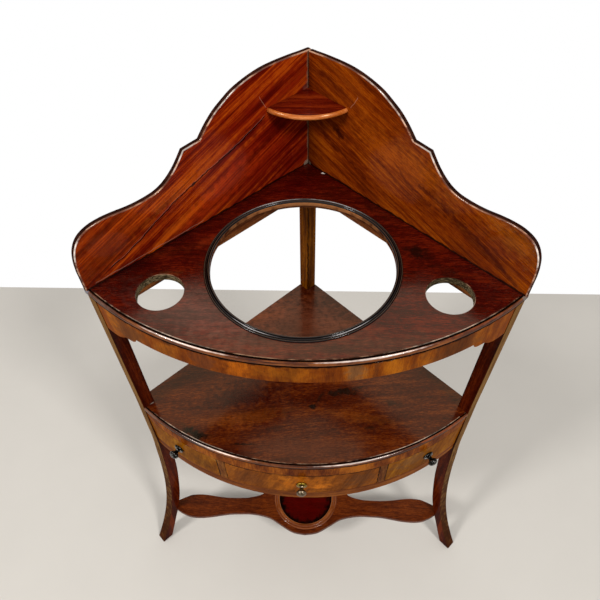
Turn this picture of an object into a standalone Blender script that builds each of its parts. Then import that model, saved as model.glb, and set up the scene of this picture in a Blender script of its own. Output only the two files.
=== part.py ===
"""A corner washstand: two splash boards, a pierced bow-fronted top, a shelf over a drawer tier,
sabre front legs and a shaped stretcher platform with a dish for the jug.

Lengths are in metres. The two walls meet over the line x = 0, the bow looks along -Y and the floor is z = 0.
The origin is under the middle of the rear post.
"""

import math

import bmesh
import bpy
from mathutils import Matrix, Vector

# Fits and clearances
joint_gap = 0.0003
drawer_side_clearance = 0.0008
drawer_rise_clearance = 0.0006
false_drawer_gap = 0.0007
cut_overrun = 0.004

# The plan, drawn round the basin's hole and measured from the corner where the two walls meet
post_side = 0.0245
basin_hole_radius = 0.143
basin_wall_margin = 0.0437
basin_front_margin = 0.040
basin_off_middle = -0.003
bow_centre_back = 0.029
bead_overhang = 0.0017
leg_setback = 0.0002
edge_round = 0.0009

# Heights
top_height = 0.910
shelf_height = 0.588
stretcher_height = 0.117
splash_height = 0.2088

# The top board and what it carries
board_thickness = 0.012
quirk_width = 0.0012
quirk_depth = 0.0016
bead_width = 0.0048
ring_land = 0.0068
ring_height = 0.0034
ring_lip_thickness = 0.0022
ring_lip_depth = 0.0062
tumbler_hole_radius = 0.0347
tumbler_front_margin = 0.0295
tumbler_angle = 30.47
splash_thickness = 0.009
splash_round = 0.0032
soap_shelf_height = 0.1448
soap_shelf_thickness = 0.0085
soap_shelf_radius = 0.0975
soap_shelf_centre_back = 0.012

# The frame below the top board
apron_depth = 0.036
apron_thickness = 0.018
bracket_width = 0.0606
bracket_drop = 0.026
rail_depth = 0.0455
rail_thickness = 0.016
block_side = 0.013
block_length = 0.05
block_rail_run = 0.11
block_apron_angle = 16.0

# The drawer tier
tier_band_height = 0.030
drawer_opening_height = 0.075
bottom_rail_height = 0.027
tier_front_thickness = 0.018
bearer_depth = 0.046
tier_wall_thickness = 0.012
drawer_half_width = 0.1435
drawer_off_middle = -0.004
stile_width = 0.0145
runner_width = 0.03
runner_height = 0.014
guide_width = 0.010
guide_height = 0.012
kicker_width = 0.022
kicker_drop = 0.012
stop_width = 0.030
stop_depth = 0.010
stop_height = 0.004
stop_across = 0.075

# The drawer box
drawer_side_thickness = 0.008
drawer_side_drop = 0.004
drawer_back_clearance = 0.0094
drawer_bottom_thickness = 0.005
drawer_bottom_lift = 0.0062
drawer_back_drop = 0.010

# The brass knobs
knob_head_radius = 0.0093
knob_rose_radius = 0.0102
knob_projection = 0.0222
knob_shank_radius = 0.0022
knob_nut_radius = 0.0055
knob_nut_thickness = 0.003
side_knob_angle = 30.2

# The sabre legs and the stretcher platform
leg_splay_width = 0.0948
platform_thickness = 0.012
platform_arm_width = 0.059
platform_disc_back = 0.024
dish_inner_radius = 0.066
dish_rim_width = 0.0127
dish_land_width = 0.0103
dish_rim_height = 0.0034
dish_depth = 0.0065

# Shares that shape the splash boards: run from the wall corner, rise over the top board
splash_crown_shares = (
    (0.0, 0.982), (0.0429, 0.9863), (0.0969, 0.9947), (0.1741, 1.0), (0.2320, 0.9937), (0.2899, 0.9715),
    (0.3439, 0.9368), (0.3873, 0.8894), (0.4230, 0.8430), (0.4588, 0.7777), (0.4925, 0.6997),
)
splash_wing_shares = (
    (0.5592, 0.6870), (0.5746, 0.6449), (0.5967, 0.5901), (0.6228, 0.5395), (0.6518, 0.4995),
    (0.6855, 0.4742), (0.7338, 0.4647), (0.7820, 0.4679), (0.8303, 0.4816), (0.8737, 0.4879),
    (0.9123, 0.4816), (0.9461, 0.4563), (0.9702, 0.4131), (0.9875, 0.3456), (0.9965, 0.2634),
    (1.0, 0.179),
)

# Shares of the leg's height up to the tier, counted down from there, and of the splay, outer and inner side
leg_outer_shares = (
    (-0.35, 0.0), (-0.22, 0.011), (-0.11, 0.020), (0.0, 0.028), (0.1395, 0.070), (0.2386, 0.099),
    (0.3376, 0.140), (0.4366, 0.191), (0.5357, 0.260), (0.6347, 0.351), (0.7337, 0.477), (0.8328, 0.640),
    (0.9318, 0.842), (1.0, 1.0),
)
leg_inner_shares = (
    (0.0, 0.0), (0.1395, 0.039), (0.2386, 0.077), (0.3376, 0.117), (0.4366, 0.177), (0.5357, 0.249),
    (0.6347, 0.344), (0.7337, 0.485), (0.8328, 0.660), (0.9318, 0.833), (1.0, 0.958),
)

# The bracket at each end of the apron: a share of its width toward the leg, then of its drop
apron_bracket_shares = (
    (0.0, 0.0), (0.035, 0.19), (0.076, 0.30), (0.123, 0.385), (0.204, 0.42), (0.284, 0.433), (0.347, 0.45),
    (0.409, 0.585), (0.510, 0.785), (0.610, 0.905), (0.709, 0.96), (0.838, 0.99), (1.0, 1.0),
)

# The platform's disc: degrees from the front, then a share of the disc's radius
disc_front_shares = ((0.0, 1.0), (20.0, 1.0), (43.0, 1.02), (59.0, 1.133))
disc_rear_shares = ((102.0, 1.092), (113.0, 1.017), (129.0, 0.985), (148.0, 1.002), (163.0, 1.086))

# Its arms: a share of the way from the disc to the leg, then a share of half the arm's width
arm_front_shares = (
    (0.101, 0.708), (0.209, 0.602), (0.322, 0.616), (0.426, 0.659), (0.530, 0.783), (0.639, 0.925),
    (0.761, 1.0), (0.857, 0.932), (0.914, 0.766), (0.961, 0.590), (1.008, 0.366), (1.062, 0.108),
)
arm_rear_shares = (
    (1.042, -0.221), (1.004, -0.366), (0.961, -0.530), (0.914, -0.695), (0.857, -0.857), (0.761, -0.911),
    (0.666, -0.857), (0.552, -0.732), (0.444, -0.671), (0.330, -0.678), (0.222, -0.746), (0.100, -1.016),
)
back_arm_shares = (
    (0.119, 0.714), (0.245, 0.649), (0.371, 0.703), (0.497, 0.843), (0.615, 0.930), (0.717, 0.897),
    (0.827, 0.692), (0.921, 0.432), (1.0, 0.238), (1.055, 0.108),
)

# Shares of a knob's profile: head radius and projection, then rose radius and projection
knob_head_shares = (
    (0.0, 1.0), (0.30, 0.985), (0.60, 0.945), (0.84, 0.87), (0.97, 0.775), (1.0, 0.70), (0.93, 0.62),
    (0.74, 0.545), (0.52, 0.475), (0.42, 0.39), (0.40, 0.31),
)
knob_rose_shares = ((0.44, 0.235), (0.62, 0.195), (0.86, 0.165), (0.97, 0.12), (1.0, 0.07))

# Shares of a turned moulding: across its width from the inside, then up its rise
basin_ring_shares = (
    (0.0, 0.45), (0.08, 0.82), (0.20, 0.98), (0.33, 0.86), (0.40, 0.55), (0.47, 0.78), (0.58, 0.92),
    (0.69, 0.76), (0.75, 0.45), (0.84, 0.58), (0.94, 0.42), (1.0, 0.0),
)
dish_rim_shares = (
    (0.0, 0.62), (0.10, 0.90), (0.28, 1.0), (0.46, 0.88), (0.56, 0.55), (0.66, 0.60), (0.82, 0.52),
    (0.94, 0.32), (1.0, 0.0),
)

# Finishes, each a colour, a roughness and how far it is metal
mahogany_dark = ((0.115, 0.032, 0.016), 0.32, 0.0)
mahogany_red = ((0.190, 0.045, 0.018), 0.32, 0.0)
mahogany_gold = ((0.330, 0.125, 0.040), 0.32, 0.0)
oak_plain = ((0.360, 0.220, 0.110), 0.62, 0.0)
brass_aged = ((0.640, 0.450, 0.170), 0.34, 1.0)
iron_aged = ((0.180, 0.170, 0.160), 0.34, 1.0)

bow_steps = 64
hole_steps = 60
small_steps = 32
knob_steps = 16
curve_steps = 3
outline_steps = 2

# Angles in degrees: how far each sweep runs from the front, and what counts as a sharp or a round edge
bow_sweep = 58.0
soap_shelf_sweep = 70.0
bead_first_angle = 150.0
bead_angle_step = 32.0
bead_points = 7
sharp_angle = 50.0
round_angle = 35.0
flat_angle = 0.5

# Derived places
wall_corner_y = post_side / math.sqrt(2.0)
basin_centre_out = (basin_hole_radius + basin_wall_margin) * math.sqrt(2.0)
basin_y = wall_corner_y - basin_centre_out
bow_radius = basin_centre_out + basin_hole_radius + basin_front_margin + bow_centre_back
bow_centre_y = wall_corner_y + bow_centre_back
face_radius = bow_radius - bead_overhang
board_underside = top_height - board_thickness
shelf_underside = shelf_height - board_thickness
band_underside = shelf_underside - tier_band_height
drawer_floor = band_underside - drawer_opening_height
tier_underside = drawer_floor - bottom_rail_height
inner_corner_y = wall_corner_y - splash_thickness * math.sqrt(2.0)
tumbler_centre_radius = bow_radius - tumbler_front_margin - tumbler_hole_radius
tumbler_x = tumbler_centre_radius * math.sin(math.radians(tumbler_angle))
tumbler_y = bow_centre_y - tumbler_centre_radius * math.cos(math.radians(tumbler_angle))


def wall_reach(radius):
    """How far along a wall, from the wall corner, a bow of this radius reaches."""
    half = bow_centre_back / math.sqrt(2.0)
    return math.sqrt(radius**2 - bow_centre_back**2 + half**2) - half


leg_outer_run = wall_reach(face_radius) - leg_setback
leg_inner_run = leg_outer_run - post_side
splash_run = wall_reach(bow_radius)


def wall_point(side, run, inward, height=0.0):
    """A point by its run along a wall and its distance from it: side -1 is the left wall, 1 the right one."""
    across = (run - inward) / math.sqrt(2.0)
    out = (run + inward) / math.sqrt(2.0)
    return Vector((side * across, wall_corner_y - out, height))


def wall_directions(side):
    """Unit vectors along a wall, away from the corner, and square to it, into the stand."""
    along = Vector((side, -1.0, 0.0)).normalized()
    inward = Vector((-side, -1.0, 0.0)).normalized()
    return along, inward


def remove_everything():
    for obj in list(bpy.data.objects):
        bpy.data.objects.remove(obj, do_unlink=True)


def add_collection(name, hidden=False):
    found = bpy.data.collections.new(name)
    bpy.context.scene.collection.children.link(found)
    found.hide_render = hidden
    return found


def add_material(name, finish):
    """Make a part's own material from its finish."""
    colour, roughness, metallic = finish
    found = bpy.data.materials.new(name)
    found.use_nodes = True
    shader = found.node_tree.nodes["Principled BSDF"]
    shader.inputs["Base Color"].default_value = (*colour, 1.0)
    shader.inputs["Roughness"].default_value = roughness
    shader.inputs["Metallic"].default_value = metallic
    return found


def shade_round_faces(bm):
    """Shade smooth the faces that make up a round surface, and leave the flat ones flat."""
    for edge in bm.edges:
        edge.smooth = edge.calc_face_angle(0.0) < math.radians(round_angle)
    for face in bm.faces:
        angles = [math.degrees(edge.calc_face_angle(0.0)) for edge in face.edges]
        face.smooth = any(flat_angle < angle < round_angle for angle in angles)


def place_object(name, mesh, finish, location, turn):
    """Put a mesh among the parts in its finish or, without one, among the cutters."""
    obj = bpy.data.objects.new(name, mesh)
    obj.location = location
    obj.rotation_euler = turn
    if finish:
        mesh.materials.append(add_material(name, finish))
        parts.objects.link(obj)
    else:
        cutters.objects.link(obj)
        obj.hide_render = True
        obj.display_type = "WIRE"
    return obj


def add_part(name, bm, finish, location=(0.0, 0.0, 0.0), turn=(0.0, 0.0, 0.0)):
    """Make a named part of the stand, or a cutter, from a closed mesh."""
    bmesh.ops.recalc_face_normals(bm, faces=bm.faces)
    shade_round_faces(bm)
    mesh = bpy.data.meshes.new(name)
    bm.to_mesh(mesh)
    bm.free()
    return place_object(name, mesh, finish, location, turn)


def cut(obj, cutter, operation="DIFFERENCE"):
    modifier = obj.modifiers.new(cutter.name, "BOOLEAN")
    modifier.operation = operation
    modifier.solver = "EXACT"
    modifier.object = cutter


def soften(obj, width, segments=1):
    """Round the sharp edges of a part by a small width."""
    modifier = obj.modifiers.new("Softened edges", "BEVEL")
    modifier.width = width
    modifier.segments = segments
    modifier.limit_method = "ANGLE"
    modifier.angle_limit = math.radians(sharp_angle)


def box_mesh(low, high):
    bm = bmesh.new()
    low, high = Vector(low), Vector(high)
    size = high - low
    place = Matrix.Translation((low + high) / 2.0) @ Matrix.Diagonal((*size, 1.0))
    bmesh.ops.create_cube(bm, size=1.0, matrix=place)
    return bm


def wall_box_mesh(side, run_from, run_to, in_from, in_to, low, high):
    """A bar that lies along a wall."""
    run_length, in_length = run_to - run_from, in_to - in_from
    bm = bmesh.new()
    middle = wall_point(side, (run_from + run_to) / 2.0, (in_from + in_to) / 2.0, (low + high) / 2.0)
    turn = Matrix.Rotation(-side * math.radians(45.0), 4, "Z")
    place = Matrix.Translation(middle) @ turn @ Matrix.Diagonal((run_length, in_length, high - low, 1.0))
    bmesh.ops.create_cube(bm, size=1.0, matrix=place)
    return bm


def swept_mesh(profile, half_sweep):
    """Sweep a closed (radius, height) profile about the bow's centre, alike on both sides of the front."""
    bm = bmesh.new()
    half_angle = math.radians(half_sweep)
    start = -math.pi / 2.0 - half_angle
    ring = [bm.verts.new((r * math.cos(start), r * math.sin(start), h)) for r, h in profile]
    face = bm.faces.new(ring)
    swept = bmesh.ops.spin(
        bm, geom=[face], cent=(0.0, 0.0, 0.0), axis=(0.0, 0.0, 1.0), angle=2.0 * half_angle, steps=bow_steps
    )
    bm.faces.remove(face)
    bm.faces.new(ring)
    bmesh.ops.recalc_face_normals(bm, faces=bm.faces)
    return bm


def trim(bm, point, outward):
    """Cut a mesh off at a plane and close the cut."""
    geometry = bm.verts[:] + bm.edges[:] + bm.faces[:]
    found = bmesh.ops.bisect_plane(
        bm, geom=geometry, plane_co=point, plane_no=outward, clear_outer=True, dist=joint_gap / 1000.0
    )
    edges = [item for item in found["geom_cut"] if isinstance(item, bmesh.types.BMEdge)]
    bmesh.ops.holes_fill(bm, edges=edges)


def trim_to_walls(bm, inward, centre_y):
    """Keep what lies at least this far inward of both walls, with each flat side one face."""
    for side in (-1, 1):
        toward_wall = -wall_directions(side)[1]
        trim(bm, wall_point(side, 0.0, inward) - Vector((0.0, centre_y, 0.0)), toward_wall)
    bmesh.ops.dissolve_limit(bm, angle_limit=math.radians(flat_angle), verts=bm.verts, edges=bm.edges)


def bow_bar(name, finish, outer, inner, low, high, inward=0.0, across=None):
    """A bar bent to the bow. It ends parallel to the walls or, with across, at two values of x."""
    profile = [(inner, low), (inner, high), (outer, high), (outer, low)]
    bm = swept_mesh(profile, bow_sweep)
    if across is None:
        trim_to_walls(bm, inward, bow_centre_y)
    else:
        trim(bm, Vector((across[0], 0.0, 0.0)), Vector((-1.0, 0.0, 0.0)))
        trim(bm, Vector((across[1], 0.0, 0.0)), Vector((1.0, 0.0, 0.0)))
    return add_part(name, bm, finish, (0.0, bow_centre_y, 0.0))


def board_mesh():
    """A quarter-round board whose bowed edge is worked with a quirk and a bead. Its top is at zero."""
    bead_inside = bow_radius - bead_width
    quirk_inside = bead_inside - quirk_width
    middle = -board_thickness / 2.0
    profile = [
        (bow_centre_back / 2.0, -board_thickness),
        (bow_centre_back / 2.0, 0.0),
        (quirk_inside, 0.0),
        (quirk_inside + quirk_width / 3.0, -quirk_depth),
        (bead_inside, -quirk_depth),
    ]
    for step in range(bead_points):
        angle = math.radians(bead_first_angle - bead_angle_step * step)
        across = bead_inside + bead_width / 2.0 + bead_width / 2.0 * math.cos(angle)
        profile.append((across, middle - middle * math.sin(angle)))
    profile.append((bead_inside - bead_width / 4.0, -board_thickness))
    return swept_mesh(profile, bow_sweep)


def turned_part(name, profile, finish, location, turn=(0.0, 0.0, 0.0), steps=small_steps):
    """Turn a (radius, height) profile about the local Z axis. It runs down the outer side, top to bottom."""
    mesh = bpy.data.meshes.new(name)
    ring = profile[0] == profile[-1]
    points = [(radius, 0.0, height) for radius, height in (profile[:-1] if ring else profile)]
    edges = [(i, i + 1) for i in range(len(points) - 1)]
    mesh.from_pydata(points, [*edges, (len(points) - 1, 0)] if ring else edges, [])
    obj = place_object(name, mesh, finish, location, turn)
    screw = obj.modifiers.new("Turning", "SCREW")
    screw.axis = "Z"
    screw.steps = screw.render_steps = steps
    screw.use_merge_vertices = True
    screw.merge_threshold = joint_gap / 10.0
    screw.use_smooth_shade = True
    return obj


def round_cutter(name, radius, location, low, high, turn=(0.0, 0.0, 0.0), steps=small_steps):
    profile = [(0.0, high), (radius, high), (radius, low), (0.0, low)]
    return turned_part(name, profile, None, location, turn, steps)


def smooth_run(points, steps=curve_steps):
    """Points along a smooth curve through the given ones."""
    padded = [points[0], *points, points[-1]]
    run = []
    for before, start, end, after in zip(padded, padded[1:], padded[2:], padded[3:]):
        for step in range(steps):
            t = step / steps
            run.append(tuple(
                q + ((r - p) * t + (2 * p - 5 * q + 4 * r - s) * t**2 + (3 * q - p - 3 * r + s) * t**3) / 2
                for p, q, r, s in zip(before, start, end, after)
            ))
    return [*run, points[-1]]


def flat_shape(name, outline, thickness, finish, place):
    """Fill an outline as a 2D curve, give it a thickness and stand it in its place as a mesh."""
    data = bpy.data.curves.new(name, "CURVE")
    data.dimensions = "2D"
    data.fill_mode = "BOTH"
    data.extrude = thickness / 2.0
    spline = data.splines.new("POLY")
    spline.points.add(len(outline) - 1)
    for point, (x, y) in zip(spline.points, outline):
        point.co = (x, y, 0.0, 1.0)
    spline.use_cyclic_u = True
    guide = bpy.data.objects.new(name + "_guide", data)
    cutters.objects.link(guide)
    graph = bpy.context.evaluated_depsgraph_get()
    mesh = bpy.data.meshes.new_from_object(guide.evaluated_get(graph))
    bpy.data.objects.remove(guide, do_unlink=True)
    bm = bmesh.new()
    bm.from_mesh(mesh)
    bmesh.ops.remove_doubles(bm, verts=bm.verts, dist=joint_gap / 100.0)
    bmesh.ops.dissolve_limit(bm, angle_limit=math.radians(flat_angle), verts=bm.verts, edges=bm.edges)
    bmesh.ops.transform(bm, matrix=place, verts=bm.verts)
    return add_part(name, bm, finish)


def wall_plane(side, inward, height=0.0):
    """Stand a drawing up parallel to a wall: its x runs along the wall and its y goes up."""
    along, into = wall_directions(side)
    rows = (along, Vector((0.0, 0.0, 1.0)), into)
    place = Matrix.Identity(4)
    for column, direction in enumerate(rows):
        for row in range(3):
            place[row][column] = direction[row]
    place.translation = wall_point(side, 0.0, inward, height)
    return place


def splash_board(side, finish):
    """The left board runs into the corner and the right one butts against it."""
    start = 0.0 if side < 0 else splash_thickness + joint_gap
    crown = smooth_run([(run * splash_run, rise * splash_height) for run, rise in splash_crown_shares])
    wing = smooth_run([(run * splash_run, rise * splash_height) for run, rise in splash_wing_shares])
    first = (start, share_at(crown, start))
    crown = [point for point in crown if point[0] > start + splash_round]
    outline = [(start, 0.0), first, *crown, *wing, (splash_run, 0.0)]
    place = wall_plane(side, splash_thickness / 2.0, top_height + joint_gap)
    obj = flat_shape("splash_board_" + side_name[side], outline, splash_thickness, finish, place)
    soften(obj, splash_round, 2)


def leg_outline(grow=0.0):
    """A front leg from the floor to the top board, as (run, height)."""
    outer = smooth_run([
        (leg_outer_run + grow + splay * leg_splay_width, tier_underside * (1.0 - drop))
        for drop, splay in leg_outer_shares
    ], outline_steps)
    inner = smooth_run([
        (leg_inner_run - grow + splay * leg_splay_width, tier_underside * (1.0 - drop))
        for drop, splay in leg_inner_shares
    ], outline_steps)
    top = board_underside - joint_gap + grow
    return [(leg_inner_run - grow, top), (leg_outer_run + grow, top), *outer, *reversed(inner)]


def front_leg(side, finish):
    """A leg sawn to its sabre curve, in a plane parallel to its wall."""
    place = wall_plane(side, post_side / 2.0)
    obj = flat_shape("front_leg_" + side_name[side], leg_outline(), post_side, finish, place)
    soften(obj, edge_round)


def leg_cutter(side):
    """Room for a front leg and its clearance."""
    place = wall_plane(side, post_side / 2.0)
    name = "leg_room_" + side_name[side]
    return flat_shape(name, leg_outline(joint_gap), post_side + 2.0 * joint_gap, None, place)


def post_cutter(side):
    """Room for a front leg in the shelf, open to the wall and to the front."""
    name = "leg_notch_" + side_name[side]
    low, high = tier_underside, shelf_height + cut_overrun
    reach = splash_run + cut_overrun
    bm = wall_box_mesh(side, leg_inner_run - joint_gap, reach, -cut_overrun, post_side + joint_gap, low, high)
    return add_part(name, bm, None)


def platform_outline():
    """The stretcher platform in plan: a disc round the dish and an arm to each leg."""
    foot_drop = 1.0 - (stretcher_height - platform_thickness / 2.0) / tier_underside
    splay = share_at(leg_inner_shares, foot_drop) * leg_splay_width
    tip = wall_point(1, leg_inner_run + splay, post_side)
    heel = wall_point(1, leg_inner_run + splay, 0.0)
    arm_y = (tip.y + heel.y) / 2.0
    dish_y = arm_y + platform_disc_back
    disc_radius = dish_inner_radius + dish_rim_width + dish_land_width
    arm_length = tip.x - disc_radius
    back_length = -wall_corner_y - dish_y - disc_radius
    half_width = platform_arm_width / 2.0
    disc_front, disc_rear = [
        [(disc_radius * share * math.sin(math.radians(degrees)),
          dish_y - disc_radius * share * math.cos(math.radians(degrees))) for degrees, share in table]
        for table in (disc_front_shares, disc_rear_shares)
    ]
    front, rear = [
        [(disc_radius + arm_length * along, arm_y - half_width * across) for along, across in table]
        for table in (arm_front_shares, arm_rear_shares)
    ]
    back_y = dish_y + disc_radius
    back = [(half_width * across, back_y + back_length * along) for along, across in back_arm_shares]
    half = [*smooth_run([*disc_front, *front], outline_steps),
            *smooth_run([*rear, *disc_rear, *back], outline_steps)]
    mirrored = [(-x, y) for x, y in reversed(half[1:])]
    return [*half, *mirrored], dish_y


def share_at(table, wanted):
    """Read a table of shares between its rows."""
    for (start, first), (end, last) in zip(table, table[1:]):
        if wanted <= end:
            return first + (last - first) * (wanted - start) / (end - start)
    return table[-1][1]


def moulding(inner, width, rise, shares):
    """The upper side of a turned moulding, as (radius, height), from the inside out."""
    return [(inner + width * across, joint_gap + rise * up) for across, up in shares]


def stretcher(platform_finish, rim_finish):
    """The platform between the three legs, with its sunk dish and the ring round it."""
    outline, dish_y = platform_outline()
    top = stretcher_height
    place = Matrix.Translation((0.0, 0.0, top - platform_thickness / 2.0))
    platform = flat_shape("stretcher_platform", outline, platform_thickness, platform_finish, place)
    soften(platform, edge_round)
    for side in (-1, 1):
        cut(platform, leg_cutter(side))
    rear_low = stretcher_height - platform_thickness - cut_overrun
    rear_high = stretcher_height + cut_overrun
    low, high = -joint_gap, post_side + joint_gap
    rear = add_part("rear_post_notch", wall_box_mesh(1, low, high, low, high, rear_low, rear_high), None)
    cut(platform, rear)
    centre = (0.0, dish_y, top)
    room = round_cutter("dish_room", dish_inner_radius, centre, -dish_depth, cut_overrun, steps=hole_steps)
    cut(platform, room)
    foot = (dish_inner_radius, joint_gap)
    profile = [foot, *moulding(dish_inner_radius, dish_rim_width, dish_rim_height, dish_rim_shares), foot]
    turned_part("dish_rim", profile, rim_finish, centre, steps=hole_steps)


def top_board(finish):
    """The top with its holes, and the turned ring that lines the basin's hole."""
    bm = board_mesh()
    trim_to_walls(bm, 0.0, bow_centre_y)
    board = add_part("top_board", bm, finish, (0.0, bow_centre_y, top_height))
    places = (("basin_room", basin_hole_radius, basin_off_middle, basin_y, hole_steps),
              ("tumbler_room_left", tumbler_hole_radius, -tumbler_x, tumbler_y, small_steps),
              ("tumbler_room_right", tumbler_hole_radius, tumbler_x, tumbler_y, small_steps))
    for name, radius, x, y, steps in places:
        low = -board_thickness - cut_overrun
        cut(board, round_cutter(name, radius, (x, y, top_height), low, cut_overrun, steps=steps))
    lip_outer = basin_hole_radius - joint_gap
    lip_inner = lip_outer - ring_lip_thickness
    outer = basin_hole_radius + ring_land
    width = outer - lip_inner
    foot = (lip_inner, -ring_lip_depth)
    profile = [foot, *moulding(lip_inner, width, ring_height, basin_ring_shares)]
    profile += [(lip_outer, joint_gap), (lip_outer, -ring_lip_depth), foot]
    turned_part("basin_ring", profile, finish, (basin_off_middle, basin_y, top_height), steps=hole_steps)


def apron_cutter():
    """What is sawn away under the apron, which leaves a shaped bracket at each end."""
    low = board_underside - apron_depth
    leg_side = wall_point(1, leg_outer_run, post_side).x
    right = [(leg_side - bracket_width * (1.0 - along), low - bracket_drop * down)
             for along, down in apron_bracket_shares]
    reach, under = leg_side + post_side, low - bracket_drop
    right += [(reach, under), (reach, under - cut_overrun)]
    left = [(-x, z) for x, z in reversed(right)]
    middle = Vector((0.0, bow_centre_y - face_radius, 0.0))
    place = Matrix.Translation(middle) @ Matrix.Rotation(math.radians(90.0), 4, "X")
    return flat_shape("apron_room", [*right, *left], face_radius, None, place)


def top_frame(rail_finish, apron_finish, block_finish):
    """The rails and the bowed apron below the top, with the blocks that hold them to it."""
    high = board_underside - joint_gap
    inner = face_radius - apron_thickness
    post_room = post_side + joint_gap
    deep = board_underside - apron_depth - bracket_drop - cut_overrun / 2.0
    apron = bow_bar("top_apron", apron_finish, face_radius, inner, deep, high, post_room)
    cut(apron, apron_cutter())
    low = board_underside - rail_depth
    for side in (-1, 1):
        bm = wall_box_mesh(side, post_room, leg_inner_run - joint_gap, 0.0, rail_thickness, low, high)
        soften(add_part("top_rail_" + side_name[side], bm, rail_finish), edge_round)
        from_in = rail_thickness + joint_gap
        bm = wall_box_mesh(side, block_rail_run, block_rail_run + block_length,
                           from_in, from_in + block_side, high - block_side, high)
        soften(add_part("rail_glue_block_" + side_name[side], bm, block_finish), edge_round)
        apron_back = inner - joint_gap
        angle = side * math.radians(block_apron_angle)
        bm = box_mesh((-block_length / 2.0, -block_side / 2.0, -block_side),
                      (block_length / 2.0, block_side / 2.0, 0.0))
        out = math.sqrt(apron_back**2 - (block_length / 2.0) ** 2) - block_side / 2.0
        spot = (out * math.sin(angle), bow_centre_y - out * math.cos(angle), high)
        name = "apron_glue_block_" + side_name[side]
        soften(add_part(name, bm, block_finish, spot, (0.0, 0.0, angle)), edge_round)


def soap_shelf(finish):
    """The small bow-fronted shelf in the corner of the splash boards."""
    front = soap_shelf_radius
    nose = soap_shelf_thickness / 2.0
    profile = [(soap_shelf_centre_back / 2.0, -soap_shelf_thickness), (soap_shelf_centre_back / 2.0, 0.0)]
    profile += [
        (front - nose + nose * math.cos(math.radians(angle)), -nose + nose * math.sin(math.radians(angle)))
        for angle in range(90, -91, -30)
    ]
    centre_y = inner_corner_y + soap_shelf_centre_back
    bm = swept_mesh(profile, soap_shelf_sweep)
    trim_to_walls(bm, splash_thickness + joint_gap, centre_y)
    add_part("soap_shelf", bm, finish, (0.0, centre_y, top_height + soap_shelf_height))


def rear_post(finish):
    bm = wall_box_mesh(1, 0.0, post_side, 0.0, post_side, 0.0, board_underside - joint_gap)
    soften(add_part("rear_post", bm, finish), edge_round)


def shelf_board(finish):
    """The shelf over the drawer, notched round the three legs."""
    bm = board_mesh()
    trim_to_walls(bm, 0.0, bow_centre_y)
    shelf = add_part("shelf_board", bm, finish, (0.0, bow_centre_y, shelf_height))
    for side in (-1, 1):
        cut(shelf, post_cutter(side))
    low, high = -cut_overrun, post_side + joint_gap
    bm = wall_box_mesh(1, low, high, low, high, tier_underside, shelf_height + cut_overrun)
    cut(shelf, add_part("shelf_rear_notch", bm, None))


def tier_fronts(band_finish, front_finish):
    """The bowed rails and stiles round the drawer, and a false drawer on each side of it."""
    inner = face_radius - tier_front_thickness
    inward = post_side + joint_gap
    high = shelf_underside - joint_gap
    bow_bar("tier_top_rail", band_finish, face_radius, inner, band_underside, high, inward)
    low = tier_underside
    bearer_inner = face_radius - bearer_depth
    bow_bar("tier_bottom_rail", band_finish, face_radius, bearer_inner, low, drawer_floor, inward)
    stile_from = drawer_half_width + drawer_side_clearance
    stile_to = stile_from + stile_width
    low, high = drawer_floor + joint_gap, band_underside - joint_gap
    for side in (-1, 1):
        ends = sorted(drawer_off_middle + side * reach for reach in (stile_from, stile_to))
        bow_bar("drawer_stile_" + side_name[side], band_finish, face_radius, inner, low, high, across=ends)
    low, high = drawer_floor + false_drawer_gap, band_underside - false_drawer_gap
    profile = [(inner, low), (inner, high), (face_radius, high), (face_radius, low)]
    for side in (-1, 1):
        bm = swept_mesh(profile, bow_sweep)
        start = Vector((drawer_off_middle + side * (stile_to + false_drawer_gap), 0.0, 0.0))
        trim(bm, start, Vector((-side, 0.0, 0.0)))
        end = wall_point(side, 0.0, post_side + false_drawer_gap) - Vector((0.0, bow_centre_y, 0.0))
        trim(bm, end, -wall_directions(side)[1])
        name = "false_drawer_" + side_name[side]
        front = add_part(name, bm, front_finish, (0.0, bow_centre_y, 0.0))
        soften(front, edge_round)
        angle = side * math.radians(side_knob_angle) + drawer_off_middle / face_radius
        add_knob("false_drawer_knob_" + side_name[side], angle, front, inner)


def add_knob(name, angle, front, inner_radius):
    """A knob with its shank through the drawer front and a nut behind it."""
    direction = Vector((math.sin(angle), -math.cos(angle), 0.0))
    height = (drawer_floor + band_underside) / 2.0
    spot = Vector((0.0, bow_centre_y, height)) + direction * face_radius
    turn = (math.radians(90.0), 0.0, angle)
    depth = face_radius - inner_radius
    length, head, shank = knob_projection, knob_head_radius, knob_shank_radius
    tail = depth + knob_nut_thickness + 2.0 * joint_gap
    profile = [(head * across, length * up) for across, up in knob_head_shares]
    profile += [(knob_rose_radius * across, length * up) for across, up in knob_rose_shares]
    profile += [(knob_rose_radius, joint_gap), (shank, joint_gap), (shank, -tail), (0.0, -tail)]
    turned_part(name, profile, brass_aged, spot, turn, knob_steps)
    bore = shank + joint_gap
    cut(front, round_cutter(name + "_bore", bore, spot, -tail, cut_overrun, turn, knob_steps))
    bm = bmesh.new()
    radius, thickness = knob_nut_radius, knob_nut_thickness
    bmesh.ops.create_cone(bm, segments=6, cap_ends=True, radius1=radius, radius2=radius, depth=thickness)
    back = spot - direction * (depth + joint_gap * 2.0 + knob_nut_thickness / 2.0)
    nut = add_part(name + "_nut", bm, iron_aged, back, turn)
    low = -tail - cut_overrun
    cut(nut, round_cutter(name + "_nut_bore", bore, spot, low, cut_overrun, turn, knob_steps))


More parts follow.
